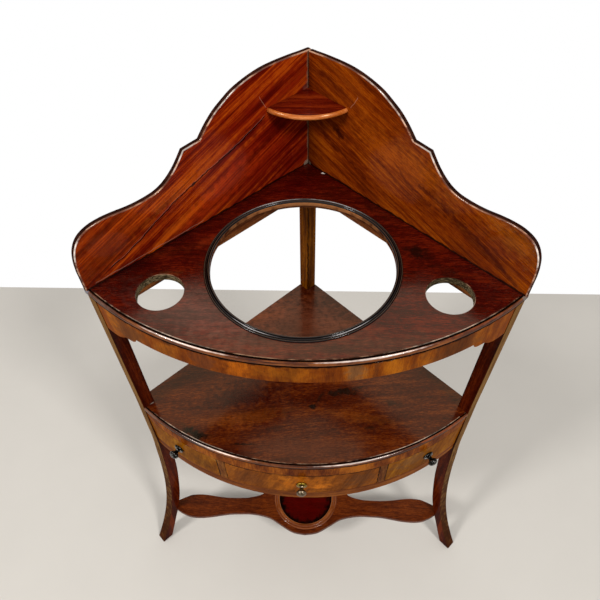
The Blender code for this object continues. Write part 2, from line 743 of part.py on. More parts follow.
def tier_inside(finish):
    """The tier's wall boards and, behind its front, what the drawer runs on, between, under and against."""
    high = shelf_underside - joint_gap
    low = tier_underside
    bearer_inner = face_radius - bearer_depth - joint_gap
    band_inner = face_radius - tier_front_thickness - joint_gap
    stop_front = band_inner - joint_gap
    guide_from = drawer_half_width + drawer_side_clearance
    runner_to = guide_from + guide_width
    kicker_from = drawer_half_width - kicker_width
    for side in (-1, 1):
        bm = wall_box_mesh(side, post_side + joint_gap, leg_inner_run - joint_gap, 0.0, tier_wall_thickness,
                           low, high)
        soften(add_part("tier_wall_" + side_name[side], bm, finish), edge_round)
        add_strip("drawer_runner_" + side_name[side], side, runner_to - runner_width, runner_to,
                  bearer_inner, drawer_floor - runner_height, drawer_floor, finish)
        add_strip("drawer_guide_" + side_name[side], side, guide_from, guide_from + guide_width,
                  bearer_inner, drawer_floor + joint_gap, drawer_floor + guide_height, finish)
        add_strip("drawer_kicker_" + side_name[side], side, kicker_from, drawer_half_width,
                  band_inner, band_underside, band_underside + kicker_drop, finish)
        stop_ends = (stop_across - stop_width / 2.0, stop_across + stop_width / 2.0)
        x_from, x_to = sorted(drawer_off_middle + side * reach for reach in stop_ends)
        y_front = bow_centre_y - math.sqrt(stop_front**2 - max(abs(x_from), abs(x_to)) ** 2)
        bm = box_mesh((x_from, y_front, drawer_floor + joint_gap),
                      (x_to, y_front + stop_depth, drawer_floor + stop_height))
        add_part("drawer_stop_" + side_name[side], bm, finish)


def add_strip(name, side, x_from, x_to, front_radius, low, high, finish):
    """A straight strip that runs back from a bowed rail to the tier's wall board."""
    near, far = sorted(drawer_off_middle + side * reach for reach in (x_from, x_to))
    reach = math.sqrt(front_radius**2 - max(abs(near), abs(far)) ** 2)
    bm = box_mesh((near, bow_centre_y - front_radius, low), (far, wall_corner_y, high))
    trim(bm, wall_point(side, 0.0, tier_wall_thickness + joint_gap), -wall_directions(side)[1])
    trim(bm, Vector((0.0, bow_centre_y - reach, 0.0)), Vector((0.0, -1.0, 0.0)))
    add_part(name, bm, finish)


def drawer(front_finish, box_finish):
    """The sliding drawer: a bowed front, two sides, a bottom, a back and a knob."""
    inner = face_radius - tier_front_thickness
    low = drawer_floor + drawer_rise_clearance
    high = band_underside - drawer_rise_clearance
    middle = drawer_off_middle
    ends = (middle - drawer_half_width, middle + drawer_half_width)
    front = bow_bar("drawer_front", front_finish, face_radius, inner, low, high, across=ends)
    soften(front, edge_round)
    add_knob("drawer_knob", drawer_off_middle / face_radius, front, inner)
    behind = round_cutter("drawer_front_curve", inner - joint_gap, (0.0, bow_centre_y, 0.0), tier_underside,
                          shelf_height, steps=bow_steps * 3)
    half = drawer_half_width
    y_side = bow_centre_y - math.sqrt(inner**2 - (half + abs(middle)) ** 2)
    wall_room = (tier_wall_thickness + drawer_back_clearance) * math.sqrt(2.0)
    y_back = wall_corner_y - half - abs(middle) - wall_room
    side_high = high - drawer_side_drop
    thick = drawer_side_thickness
    for side in (-1, 1):
        x_from, x_to = sorted(middle + side * reach for reach in (half - thick, half))
        bm = box_mesh((x_from, y_side - half / 2.0, low), (x_to, y_back, side_high))
        cut(add_part("drawer_side_" + side_name[side], bm, box_finish), behind, "INTERSECT")
    x_in = half - thick - joint_gap
    floor = low + drawer_bottom_lift
    bm = box_mesh((middle - x_in, y_side - half, floor),
                  (middle + x_in, y_back - thick - joint_gap, floor + drawer_bottom_thickness))
    cut(add_part("drawer_bottom", bm, box_finish), behind, "INTERSECT")
    bm = box_mesh((middle - x_in, y_back - thick, low),
                  (middle + x_in, y_back, side_high - drawer_back_drop))
    soften(add_part("drawer_back", bm, box_finish), edge_round)


side_name = {-1: "left", 1: "right"}

remove_everything()
parts = add_collection("Corner washstand")
cutters = add_collection("Cutters", hidden=True)

for wall in (-1, 1):
    splash_board(wall, mahogany_red)
    front_leg(wall, mahogany_red)
soap_shelf(mahogany_red)
top_board(mahogany_dark)
top_frame(mahogany_red, mahogany_gold, oak_plain)
rear_post(mahogany_red)
shelf_board(mahogany_dark)
tier_fronts(mahogany_gold, mahogany_gold)
tier_inside(oak_plain)
drawer(mahogany_gold, oak_plain)
stretcher(mahogany_red, mahogany_gold)
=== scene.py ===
"""The looks of a mahogany corner washstand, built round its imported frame.

Lengths are in metres and angles in degrees. The two walls meet over the line x = 0, the bow looks
along -Y and the floor is z = 0. Each class below makes one part of the stand: its fields are sizes
and finishes, and build() makes its pieces. Every piece carries a "grain" attribute that its wood
finish reads: how far a point lies along the grain, across it and into the board.
"""

from __future__ import annotations

import logging
import math
from collections.abc import Callable, Sequence
from dataclasses import dataclass, replace
from enum import Enum
from functools import cache

import bmesh
import bpy
from mathutils import Matrix, Vector


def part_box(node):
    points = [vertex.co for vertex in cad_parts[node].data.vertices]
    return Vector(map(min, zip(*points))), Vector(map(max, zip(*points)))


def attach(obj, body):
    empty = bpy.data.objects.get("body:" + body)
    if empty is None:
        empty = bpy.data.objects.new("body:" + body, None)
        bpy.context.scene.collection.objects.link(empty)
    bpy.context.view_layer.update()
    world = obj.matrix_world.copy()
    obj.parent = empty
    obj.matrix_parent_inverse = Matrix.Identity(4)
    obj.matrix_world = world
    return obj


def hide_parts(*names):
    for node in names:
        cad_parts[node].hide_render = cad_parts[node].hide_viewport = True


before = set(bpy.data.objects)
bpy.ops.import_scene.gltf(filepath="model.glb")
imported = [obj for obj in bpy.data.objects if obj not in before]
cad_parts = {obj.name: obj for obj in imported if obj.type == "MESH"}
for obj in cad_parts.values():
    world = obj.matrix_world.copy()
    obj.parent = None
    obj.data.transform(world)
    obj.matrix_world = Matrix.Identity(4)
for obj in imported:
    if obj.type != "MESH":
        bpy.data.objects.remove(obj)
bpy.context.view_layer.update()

log = logging.getLogger("washstand")

Colour = tuple[float, float, float]
Point = tuple[float, float]
GrainRule = Callable[[Vector], tuple[float, float, float]]
FaceRule = Callable[[bmesh.types.BMFace], bool]

# Lengths that count as none, the way that the bow looks, the gap between pieces that touch, how
# thick the veneered fronts are, and how far the bow's centre lies behind the corner
TINY = 1e-6
NEAR = TINY * 5.0
FRONT = -90.0
JOINT_GAP = 0.0003
FRONT_THICKNESS = 0.018
BOW_CENTRE_BACK = 0.029

# Steps round holes and the dish, steps round the basin's ring, and how far a cutter runs past what
# it cuts
HOLE_STEPS = 128
RING_STEPS = 160
OVERSHOOT = 0.01

# Faces that meet at less than this angle belong to one rounded surface
ROUND_ANGLE = 35.0

# Length and width of the slow sway of the grain, its fibres and the drift of colour, and how deep
# open grain is
SWAY_SIZE = (0.30, 0.09)
FIBRE_SIZE = (0.022, 0.0007)
DRIFT_SIZE = (0.22, 0.12)
GRAIN_DEPTH = 0.0004

# Numbers of the sockets of a node that mixes colours
MIX_SHARE, MIX_FIRST, MIX_SECOND, MIX_RESULT = 0, 6, 7, 2


class Side(Enum):
    """The two walls that the stand fits between."""

    LEFT = -1
    RIGHT = 1

    @property
    def label(self) -> str:
        """The word that names of pieces use."""
        return self.name.lower()


class Body(Enum):
    """What a piece moves with."""

    STAND = "stand"
    DRAWER = "drawer"


class Slot(Enum):
    """Material slots by name; each dressed piece carries one."""

    TOP = "top_mahogany"
    SPLASH = "splash_mahogany"
    FRONT = "front_veneer"
    LEG = "leg_mahogany"
    SHELF = "shelf_mahogany"
    CARCASE = "carcase_oak"
    KNOB = "knob_brass"


def linear(level: float) -> float:
    """A shader's value for a level out of 255 as the eye sees it."""
    return ((level / 255.0 + 0.055) / 1.055) ** 2.4 if level > 10.3 else level / 255.0 / 12.92


def paint(red: float, green: float, blue: float) -> Colour:
    """A colour for a shader from its three levels."""
    return (linear(red), linear(green), linear(blue))


@dataclass(frozen=True)
class Plan:
    """Where the walls meet and how the bow runs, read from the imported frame."""

    corner_y: float
    bow_y: float
    bow_radius: float
    face_radius: float
    post_side: float

    @classmethod
    def from_frame(cls) -> Plan:
        """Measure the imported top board, apron and rear post.

        Returns:
            The stand's plan.
        """
        low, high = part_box("top_board")
        apron_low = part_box("top_apron")[0]
        post_low, post_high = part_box("rear_post")
        bow_y = high.y + BOW_CENTRE_BACK
        return cls(high.y, bow_y, bow_y - low.y, bow_y - apron_low.y,
                   (post_high.y - post_low.y) / math.sqrt(2.0))

    def wall_point(self, side: Side, run: float, inward: float, height: float = 0.0) -> Vector:
        """A point by its run along a wall, its distance from the wall and its height."""
        across, out = (run - inward) / math.sqrt(2.0), (run + inward) / math.sqrt(2.0)
        return Vector((side.value * across, self.corner_y - out, height))

    def wall_directions(self, side: Side) -> tuple[Vector, Vector]:
        """Unit vectors along a wall away from the corner, and square to it into the stand."""
        along, inward = Vector((side.value, -1.0, 0.0)), Vector((-side.value, -1.0, 0.0))
        return along.normalized(), inward.normalized()

    def wall_reach(self, radius: float) -> float:
        """Find where a bow of this radius meets a wall.

        Args:
            radius: The bow's radius.

        Returns:
            The length along the wall, from the corner to the bow.
        """
        back = self.bow_y - self.corner_y
        half = back / math.sqrt(2.0)
        return math.sqrt(radius**2 - back**2 + half**2) - half

    def bow_point(self, angle: float, radius: float, height: float) -> Vector:
        """A point by its angle round the bow, its distance from the bow's centre and its height."""
        turn = math.radians(angle)
        return Vector((radius * math.sin(turn), self.bow_y - radius * math.cos(turn), height))

    def wall_grain(self, side: Side) -> GrainRule:
        """Lay grain along a wall.

        Args:
            side: Which wall.

        Returns:
            A rule that gives the run from the corner, the height and the distance from the wall.
        """
        along, inward = self.wall_directions(side)
        corner = Vector((0.0, self.corner_y, 0.0))
        return lambda p: ((p - corner).dot(along), p.z, (p - corner).dot(inward))

    def bow_grain(self, radius: float) -> GrainRule:
        """Lay grain round the bow.

        Args:
            radius: Where the length round the bow is measured.

        Returns:
            A rule that gives the length from the front, the height and the distance from the bow's
            centre.
        """
        return lambda p: (
            radius * math.atan2(p.x, self.bow_y - p.y), p.z, math.hypot(p.x, self.bow_y - p.y)
        )


def level_grain(p: Vector) -> tuple[float, float, float]:
    """Grain that runs across the stand's width."""
    return (p.x, p.y, p.z)


def ring_grain(centre: Vector, radius: float) -> GrainRule:
    """Lay grain round a turned ring.

    Args:
        centre: The ring's centre.
        radius: Where the length round the ring is measured.

    Returns:
        A rule that gives the length from the ring's front, the distance from its centre and the
        height.
    """
    return lambda p: (
        radius * abs(math.atan2(p.x - centre.x, centre.y - p.y)),
        math.hypot(p.x - centre.x, p.y - centre.y), p.z
    )


def upright_grain(p: Vector) -> tuple[float, float, float]:
    """Grain that runs up a post."""
    return (p.z, p.x, p.y)


# Nodes of a material

class Bench:
    """A small bench for joining shader nodes into a material."""

    def __init__(self, name: str) -> None:
        """Start a material with an empty bench.

        Args:
            name: The material's name.
        """
        self.material = bpy.data.materials.new(name)
        self.material.use_nodes = True
        self.tree = self.material.node_tree
        self.tree.nodes.clear()

    def add(self, kind: str, inputs: dict | None = None, **settings: object) -> bpy.types.Node:
        """Add a node, with its settings and with values or links for its inputs.

        Args:
            kind: The node's type, without its usual beginning.
            inputs: Values or links by the number or name of the socket.
            **settings: Values for the node's own settings.

        Returns:
            The node.
        """
        node = self.tree.nodes.new("ShaderNode" + kind)
        for key, value in settings.items():
            setattr(node, key, value)
        for key, value in (inputs or {}).items():
            socket = node.inputs[key]
            if isinstance(value, bpy.types.NodeSocket):
                self.tree.links.new(value, socket)
            else:
                socket.default_value = value
        return node

    def math(self, operation: str, first: object, second: object = 0.0) -> bpy.types.NodeSocket:
        """Work out one value from two."""
        return self.add("Math", {0: first, 1: second}, operation=operation).outputs[0]

    def mix(self, share: object, first: object, second: object,
            blend: str = "MIX") -> bpy.types.NodeSocket:
        """Mix two colours.

        Args:
            share: How much of the second colour shows.
            first: A colour or a link.
            second: A colour or a link.
            blend: How the second colour is laid over the first.

        Returns:
            The mixed colour.
        """
        first, second = (
            (*c, 1.0) if isinstance(c, tuple) and len(c) == 3 else c for c in (first, second)
        )
        inputs = {MIX_SHARE: share, MIX_FIRST: first, MIX_SECOND: second}
        return self.add("Mix", inputs, data_type="RGBA", blend_type=blend).outputs[MIX_RESULT]

    def ramp(self, value: object, stops: Sequence[tuple[float, Colour]]) -> bpy.types.NodeSocket:
        """Turn a value into a colour by stops along a ramp.

        Args:
            value: A link that runs from 0 to 1.
            stops: Places from 0 to 1, each with its colour.

        Returns:
            The colour.
        """
        node = self.add("ValToRGB", {0: value})
        elements = node.color_ramp.elements
        while len(elements) < len(stops):
            elements.new(1.0)
        for element, (place, colour) in zip(elements, stops):
            element.position = place
            element.color = (*colour, 1.0)
        return node.outputs[0]

    def span(self, value: object, low: float, high: float, to_low: float = 0.0, to_high: float = 1.0
             ) -> bpy.types.NodeSocket:
        """Take a value from one span to another, smoothly and without running over."""
        inputs = {0: value, 1: low, 2: high, 3: to_low, 4: to_high}
        return self.add("MapRange", inputs, interpolation_type="SMOOTHSTEP").outputs[0]

    def noise(self, vector: object, scale: float = 1.0, detail: float = 2.0, rough: float = 0.5,
              bend: float = 0.0) -> bpy.types.NodeSocket:
        """Soft noise, mostly between 0.3 and 0.7."""
        inputs = {"Vector": vector, "Scale": scale, "Detail": detail, "Roughness": rough,
                  "Distortion": bend}
        return self.add("TexNoise", inputs).outputs[0]

    def bump(self, height: object, strength: float,
             depth: float = GRAIN_DEPTH) -> bpy.types.NodeSocket:
        """Make a fine relief."""
        inputs = {"Height": height, "Strength": strength, "Distance": depth}
        return self.add("Bump", inputs).outputs[0]

    def finish(self, inputs: dict) -> bpy.types.Material:
        """Join the shader to the material's output."""
        self.add("OutputMaterial", {0: self.add("BsdfPrincipled", inputs).outputs[0]})
        return self.material

    def vector(self, operation: str, first: object, second: object) -> bpy.types.NodeSocket:
        """Work out one vector from two."""
        return self.add("VectorMath", {0: first, 1: second}, operation=operation).outputs[0]

    def stretched(self, vector: object, length: float, width: float,
                  turn: float = 0.0) -> bpy.types.NodeSocket:
        """Coordinates in which a feature of this length and width measures one each way."""
        turned = self.add("Mapping", {0: vector, 2: (0.0, 0.0, math.radians(-turn))}).outputs[0]
        return self.vector("MULTIPLY", turned, (1.0 / length, 1.0 / width, 1.0 / width))


@dataclass(frozen=True)
class Mark:
    """A worn, stained or faded patch, or a painted highlight, sheen or shade, along and across the
    grain.
    """

    along: float
    across: float
    length: float
    width: float
    colour: Colour
    strength: float = 0.6
    softness: float = 0.7
    turn: float = 0.0
    raggedness: float = 0.35

    def share(self, bench: Bench, grain: object) -> bpy.types.NodeSocket:
        """Work out how much of the mark shows at each point.

        Args:
            bench: The bench of the finish.
            grain: The place in the grain.

        Returns:
            A value from 0 to the mark's strength.
        """
        moved = bench.vector("SUBTRACT", grain, (self.along, self.across, 0.0))
        flat = bench.vector("MULTIPLY", moved, (1.0, 1.0, 0.0))
        shaped = bench.stretched(flat, self.length / 2.0, self.width / 2.0, self.turn)
        distance = bench.add("VectorMath", {0: shaped}, operation="LENGTH").outputs[1]
        swing = self.raggedness
        waver = bench.span(bench.noise(grain, 90.0, 3.0), 0.25, 0.75, -swing, swing)
        ragged = bench.math("ADD", distance, waver)
        shown = bench.span(ragged, 1.0 - self.softness, 1.0, 1.0, 0.0)
        return bench.math("MULTIPLY", shown, self.strength)


@dataclass(frozen=True)
class Seam:
    """A crack, joint or scratch, or a painted line of shade or highlight, through points along the
    grain.
    """

    points: tuple[Point, ...]
    width: float
    colour: Colour
    strength: float = 0.9
    waver: float = 1.0

    def share(self, bench: Bench, grain: object) -> bpy.types.NodeSocket:
        """Work out how much of the seam shows at each point.

        Args:
            bench: The bench of the finish.
            grain: The place in the grain.

        Returns:
            A value from 0 to the seam's strength.
        """
        parts = bench.add("SeparateXYZ", {0: grain})
        along, across = parts.outputs[0], parts.outputs[1]
        low, high = self.points[0][0], self.points[-1][0]
        floor = min(y for _, y in self.points)
        rise = max(max(y for _, y in self.points) - floor, TINY)
        place = bench.math("DIVIDE", bench.math("SUBTRACT", along, low), high - low)
        curve = bench.add("FloatCurve", {1: place})
        line = curve.mapping.curves[0]
        while len(line.points) < len(self.points):
            line.points.new(0.5, 0.5)
        for point, (x, y) in zip(line.points, self.points):
            point.location = ((x - low) / (high - low), (y - floor) / rise)
        curve.mapping.update()
        level = bench.math("ADD", bench.math("MULTIPLY", curve.outputs[0], rise), floor)
        swing = self.width * self.waver
        waver = bench.span(bench.noise(grain, 60.0, 2.0), 0.3, 0.7, -swing, swing)
        wavering = bench.math("ADD", across, waver)
        gap = bench.math("ABSOLUTE", bench.math("SUBTRACT", wavering, level))
        near = bench.span(gap, self.width * 0.4, self.width, 1.0, 0.0)
        begun, unfinished = bench.span(place, 0.0, 0.02), bench.span(place, 0.98, 1.0, 1.0, 0.0)
        inside = bench.math("MULTIPLY", begun, unfinished)
        return bench.math("MULTIPLY", bench.math("MULTIPLY", near, inside), self.strength)


@dataclass(frozen=True)
class Outline:
    """Painted shade in a gap round a front, under an overhang or along a joint, or dust along
    edges, by its inner rectangle.
    """

    along: Point
    across: Point
    width: float
    colour: Colour
    strength: float = 0.9

    def share(self, bench: Bench, grain: object) -> bpy.types.NodeSocket:
        """Work out how much of the line shows at each point.

        Args:
            bench: The bench of the finish.
            grain: The place in the grain.

        Returns:
            A value from 0 to the line's strength.
        """
        parts = bench.add("SeparateXYZ", {0: grain})
        swing = self.width * 0.5
        waver = bench.span(bench.noise(grain, 70.0, 3.0), 0.3, 0.7, -swing, swing)
        shares = []
        for value, (low, high) in zip(parts.outputs, (self.along, self.across)):
            value = bench.math("ADD", value, waver)
            shares.append(bench.span(value, low, low + self.width, 1.0, 0.0))
            shares.append(bench.span(value, high - self.width, high, 0.0, 1.0))
        total = shares[0]
        for share in shares[1:]:
            total = bench.math("MAXIMUM", total, share)
        return bench.math("MULTIPLY", total, self.strength)


@dataclass(frozen=True)
class Mahogany:
    """Polished mahogany: ribbons, fibres and pores along the grain under a thin coat of polish."""

    name: str
    dark: Colour
    middle: Colour
    light: Colour
    ribbon_length: float = 0.13
    ribbon_width: float = 0.009
    turn: float = 0.0
    waviness: float = 0.012
    contrast: float = 1.3
    shares: tuple[float, float, float, float, float] = (0.36, 0.14, 0.18, 0.12, 0.20)
    blotch_length: float = 0.16
    blotch_width: float = 0.07
    fleck_length: float = 0.011
    fleck_width: float = 0.0019
    mottle: float = 0.0
    mottle_size: float = 0.05
    mottle_colour: Colour = (0.0, 0.0, 0.0)
    band: float = 0.0
    band_length: float = 0.20
    band_width: float = 0.010
    band_colour: Colour = (0.0, 0.0, 0.0)
    pore: float = 0.4
    pore_length: float = 0.0045
    pore_width: float = 0.0006
    drift: Colour | None = None
    roughness: float = 0.30
    specular: float = 0.14
    tint: Colour = (1.0, 0.80, 0.50)
    coat: float = 0.0
    coat_roughness: float = 0.10
    bump: float = 0.10
    shift: float = 0.0
    marks: tuple[Mark | Seam | Outline, ...] = ()

    @cache
    def make(self) -> bpy.types.Material:
        """Make the material.

        Returns:
            The material, which reads each piece's own grain.
        """
        bench = Bench(self.name)
        grain = bench.add("Attribute", attribute_name="grain").outputs[1]
        placed = bench.vector("ADD", grain, (self.shift, self.shift * 0.7, 0.0))
        bent = self.bent(bench, placed)

        ribbon = self.streaks(bench, bent, (self.ribbon_length, self.ribbon_width), 3.0, 0.55)
        fine_size = (self.ribbon_length * 0.5, self.ribbon_width * 0.22)
        fine = self.streaks(bench, bent, fine_size, 2.0, 0.6)
        fibre = self.streaks(bench, bent, FIBRE_SIZE, 2.0, 0.6)
        fleck = self.streaks(bench, bent, (self.fleck_length, self.fleck_width), 3.0, 0.65)
        blotch = self.streaks(bench, placed, (self.blotch_length, self.blotch_width), 3.0, 0.55)
        tone = bench.math("MULTIPLY", ribbon, self.shares[0])
        for part, share in zip((fine, fleck, fibre, blotch), self.shares[1:]):
            tone = bench.math("ADD", tone, bench.math("MULTIPLY", part, share))
        reach = 0.17 / self.contrast
        colour = bench.ramp(bench.span(tone, 0.5 - reach, 0.5 + reach),
                            [(0.0, self.dark), (0.5, self.middle), (1.0, self.light)])

        if self.drift:
            broad = self.streaks(bench, placed, DRIFT_SIZE, 1.0)
            drifted = bench.span(broad, 0.42, 0.62, 0.0, 0.7)
            colour = bench.mix(drifted, colour, self.drift, "MULTIPLY")
        if self.mottle:
            patch = self.streaks(bench, bent, (self.mottle_size, self.mottle_size * 0.35), 5.0, 0.7)
            mottled = bench.span(patch, 0.50, 0.66, 0.0, self.mottle)
            colour = bench.mix(mottled, colour, self.mottle_colour)
        figure = bench.span(tone, 0.5 - reach, 0.5 + reach, 0.55, 1.45)
        if self.band:
            stripe = self.streaks(bench, bent, (self.band_length, self.band_width), 3.0)
            banded = bench.span(stripe, 0.48, 0.57, 0.0, self.band)
            band_colour = bench.mix(1.0, self.band_colour, figure, "MULTIPLY")
            colour = bench.mix(banded, colour, band_colour)
        for mark in self.marks:
            shown = mark.colour
            if isinstance(mark, Mark):
                shown = bench.mix(1.0, shown, figure, "MULTIPLY")
            colour = bench.mix(mark.share(bench, grain), colour, shown)
        pores = self.streaks(bench, bent, (self.pore_length, self.pore_width), 1.0)
        pits = bench.span(pores, 0.58, 0.72)
        shade = tuple(c * 0.35 for c in self.dark)
        colour = bench.mix(bench.math("MULTIPLY", pits, self.pore), colour, shade)

        wear = bench.noise(placed, 26.0, 4.0, 0.6)
        rough = bench.span(wear, 0.3, 0.7, self.roughness - 0.05, self.roughness + 0.08)
        height = bench.math("SUBTRACT", bench.math("MULTIPLY", fibre, 0.5), pits)
        bump = bench.bump(height, self.bump)
        return bench.finish({
            "Base Color": colour, "Roughness": rough, "Normal": bump,
            "Specular IOR Level": self.specular, "Specular Tint": (*self.tint, 1.0),
            "Coat Weight": self.coat, "Coat Roughness": self.coat_roughness, "Coat Normal": bump,
        })

    def bent(self, bench: Bench, placed: bpy.types.NodeSocket) -> bpy.types.NodeSocket:
        """Let the grain waver slowly across its own run.

        Args:
            bench: The bench of the finish.
            placed: The place in the grain.

        Returns:
            The same place, moved a little across the grain.
        """
        slow = bench.stretched(placed, *SWAY_SIZE, self.turn)
        sway = bench.add("TexNoise", {"Vector": slow, "Scale": 1.0, "Detail": 1.0}).outputs[1]
        centred = bench.vector("SUBTRACT", sway, (0.5, 0.5, 0.5))
        sideways = bench.vector("MULTIPLY", centred, (0.0, self.waviness * 2.0, 0.0))
        return bench.vector("ADD", placed, sideways)

    def streaks(self, bench: Bench, grain: bpy.types.NodeSocket, size: Point, detail: float,
                rough: float = 0.5) -> bpy.types.NodeSocket:
        """Soft streaks of a length and width that follow the figure's turn."""
        return bench.noise(bench.stretched(grain, *size, self.turn), 1.0, detail, rough)


@dataclass(frozen=True)
class Oak:
    """Plain unpolished oak for what lies inside: rays, fibres and grime."""

    name: str
    dark: Colour
    light: Colour
    turn: float = 0.0
    roughness: float = 0.72

    @cache
    def make(self) -> bpy.types.Material:
        """Make the material from the object's own coordinates.

        Returns:
            The material.
        """
        bench = Bench(self.name)
        place = bench.add("TexCoord").outputs["Object"]
        fibre = bench.noise(bench.stretched(place, 0.08, 0.0022, self.turn), 1.0, 4.0, 0.6, 0.4)
        figure = bench.noise(bench.stretched(place, 0.30, 0.020, self.turn), 1.0, 3.0, 0.6, 0.3)
        grime = bench.noise(place, 18.0, 4.0, 0.6)
        fibres, figures = bench.math("MULTIPLY", fibre, 0.55), bench.math("MULTIPLY", figure, 0.45)
        tone = bench.math("ADD", fibres, figures)
        colour = bench.ramp(bench.span(tone, 0.36, 0.64), [(0.0, self.dark), (1.0, self.light)])
        dirt = tuple(c * 0.4 for c in self.dark)
        colour = bench.mix(bench.span(grime, 0.52, 0.72, 0.0, 0.5), colour, dirt)
        rough = bench.span(grime, 0.3, 0.7, self.roughness - 0.06, self.roughness + 0.1)
        bump = bench.bump(fibre, 0.25)
        return bench.finish({"Base Color": colour, "Roughness": rough, "Normal": bump})


@dataclass(frozen=True)
class Metal:
    """Aged brass or iron: tarnish in soft patches, small scratches and a worn sheen."""

    name: str
    bright: Colour
    tarnish: Colour
    roughness: float = 0.28
    tarnish_from: float = 0.42
    tarnish_to: float = 0.62
    scratch_depth: float = 0.0002

    @cache
    def make(self) -> bpy.types.Material:
        """Make the material from the object's own coordinates.

        Returns:
            The material.
        """
        bench = Bench(self.name)
        place = bench.add("TexCoord").outputs["Object"]
        patch = bench.noise(place, 260.0, 4.0, 0.6)
        scratch = bench.noise(bench.stretched(place, 0.006, 0.0003, 25.0), 1.0, 2.0, 0.6)
        share = bench.span(patch, self.tarnish_from, self.tarnish_to)
        colour = bench.mix(share, self.bright, self.tarnish)
        dull = bench.span(patch, 0.3, 0.7, self.roughness - 0.06, self.roughness + 0.16)
        rough = bench.math("ADD", dull, bench.span(scratch, 0.55, 0.7, 0.0, 0.08))
        bump = bench.bump(scratch, 0.08, self.scratch_depth)
        return bench.finish({
            "Base Color": colour, "Metallic": 1.0, "Roughness": rough, "Normal": bump,
        })


# Shaping

def spline(p: float, q: float, r: float, s: float, t: float) -> float:
    """A value at share t of the way from q to r, on the smooth curve through all four."""
    line, bend, twist = r - p, 2 * p - 5 * q + 4 * r - s, 3 * q - p - 3 * r + s
    return q + (line * t + bend * t**2 + twist * t**3) / 2


def smooth_run(points: Sequence[Point], steps: int = 6) -> list[Point]:
    """Run a smooth curve through points.

    Args:
        points: The points that the curve passes.
        steps: How many steps it takes from one to the next.

    Returns:
        Points along the curve, from the first given one to the last.
    """
    padded = [points[0], *points, points[-1]]
    run: list[Point] = []
    for before, start, end, after in zip(padded, padded[1:], padded[2:], padded[3:]):
        for step in range(steps):
            run.append(tuple(spline(*values, step / steps)
                             for values in zip(before, start, end, after)))
    return [*run, points[-1]]


def share_at(table: Sequence[Point], wanted: float) -> float:
    """Read a table of shares between its rows.

    Args:
        table: Rows of a place and its share, in order.
        wanted: The place to read.

    Returns:
        The share there, or the last one past the table's end.
    """
    for (start, first), (end, last) in zip(table, table[1:]):
        if wanted <= end:
            return first + (last - first) * (wanted - start) / (end - start)
    return table[-1][1]


def arc(centre: Point, radii: Point, first: float, last: float, count: int) -> list[Point]:
    """Points round a part of an ellipse."""
    turns = (math.radians(first + (last - first) * step / (count - 1)) for step in range(count))
    return [(centre[0] + radii[0] * math.cos(t), centre[1] + radii[1] * math.sin(t)) for t in turns]


def swept(plan: Plan, profile: Sequence[Point], half_sweep: float = 58.0, steps: int = 160,
          centre_y: float | None = None) -> bmesh.types.BMesh:
    """Sweep a closed (radius, height) profile round the bow, alike on both sides of its front.

    Args:
        plan: The stand's plan.
        profile: The section's corners, as (radius, height).
        half_sweep: How far the sweep runs to each side, in degrees.
        steps: How many steps it takes.
        centre_y: Where its centre lies, if not in the bow's.

    Returns:
        A closed mesh.
    """
    bm = bmesh.new()
    centre = Vector((0.0, plan.bow_y if centre_y is None else centre_y, 0.0))
    start = math.radians(FRONT - half_sweep)
    outward = Vector((math.cos(start), math.sin(start), 0.0))
    ring = [bm.verts.new(centre + outward * radius + Vector((0.0, 0.0, height)))
            for radius, height in profile]
    face = bm.faces.new(ring)
    bmesh.ops.spin(bm, geom=[face], cent=centre, axis=(0.0, 0.0, 1.0),
                   angle=math.radians(2.0 * half_sweep), steps=steps)
    bm.faces.remove(face)
    bm.faces.new(ring)
    bmesh.ops.recalc_face_normals(bm, faces=bm.faces)
    return bm


def turned(profile: Sequence[Point], steps: int = 96) -> bmesh.types.BMesh:
    """Turn a (radius, height) profile all the way round the Z axis.

    Args:
        profile: Corners as (radius, height), closed if the last is the first.
        steps: How many steps the turn takes.

    Returns:
        A mesh round the Z axis.
    """
    bm = bmesh.new()
    closed = profile[0] == profile[-1]
    points = profile[:-1] if closed else profile
    verts = [bm.verts.new((radius, 0.0, height)) for radius, height in points]
    pairs = list(zip(verts, verts[1:])) + ([(verts[-1], verts[0])] if closed else [])
    edges = [bm.edges.new(pair) for pair in pairs]
    bmesh.ops.spin(bm, geom=[*verts, *edges], cent=(0.0, 0.0, 0.0), axis=(0.0, 0.0, 1.0),
                   angle=2.0 * math.pi, steps=steps, use_merge=True)
    bmesh.ops.remove_doubles(bm, verts=bm.verts, dist=TINY)
    return bm


def slab(outline: Sequence[Point], thickness: float) -> bmesh.types.BMesh:
    """Give a flat outline a thickness, half of it above zero and half below.

    Args:
        outline: The outline's corners.
        thickness: How thick it becomes.

    Returns:
        A closed mesh.
    """
    bm = bmesh.new()
    face = bm.faces.new([bm.verts.new((x, y, -thickness / 2.0)) for x, y in outline])
    grown = bmesh.ops.extrude_face_region(bm, geom=[face])
    raised = [item for item in grown["geom"] if isinstance(item, bmesh.types.BMVert)]
    bmesh.ops.translate(bm, verts=raised, vec=(0.0, 0.0, thickness))
    bmesh.ops.recalc_face_normals(bm, faces=bm.faces)
    return bm


def bar(plan: Plan, side: Side, runs: Point, inwards: Point, heights: Point) -> bmesh.types.BMesh:
    """Lay a straight bar along a wall.

    Args:
        plan: The stand's plan.
        side: Which wall.
        runs: Where it starts and ends along the wall.
        inwards: How far its two sides lie from the wall.
        heights: Its lower and upper height.

    Returns:
        A closed mesh.
    """
    bm = bmesh.new()
    middle = plan.wall_point(side, sum(runs) / 2.0, sum(inwards) / 2.0, sum(heights) / 2.0)
    size = (runs[1] - runs[0], inwards[1] - inwards[0], heights[1] - heights[0], 1.0)
    turn = Matrix.Rotation(math.radians(-45.0 * side.value), 4, "Z")
    bmesh.ops.create_cube(bm, size=1.0,
                          matrix=Matrix.Translation(middle) @ turn @ Matrix.Diagonal(size))
    return bm


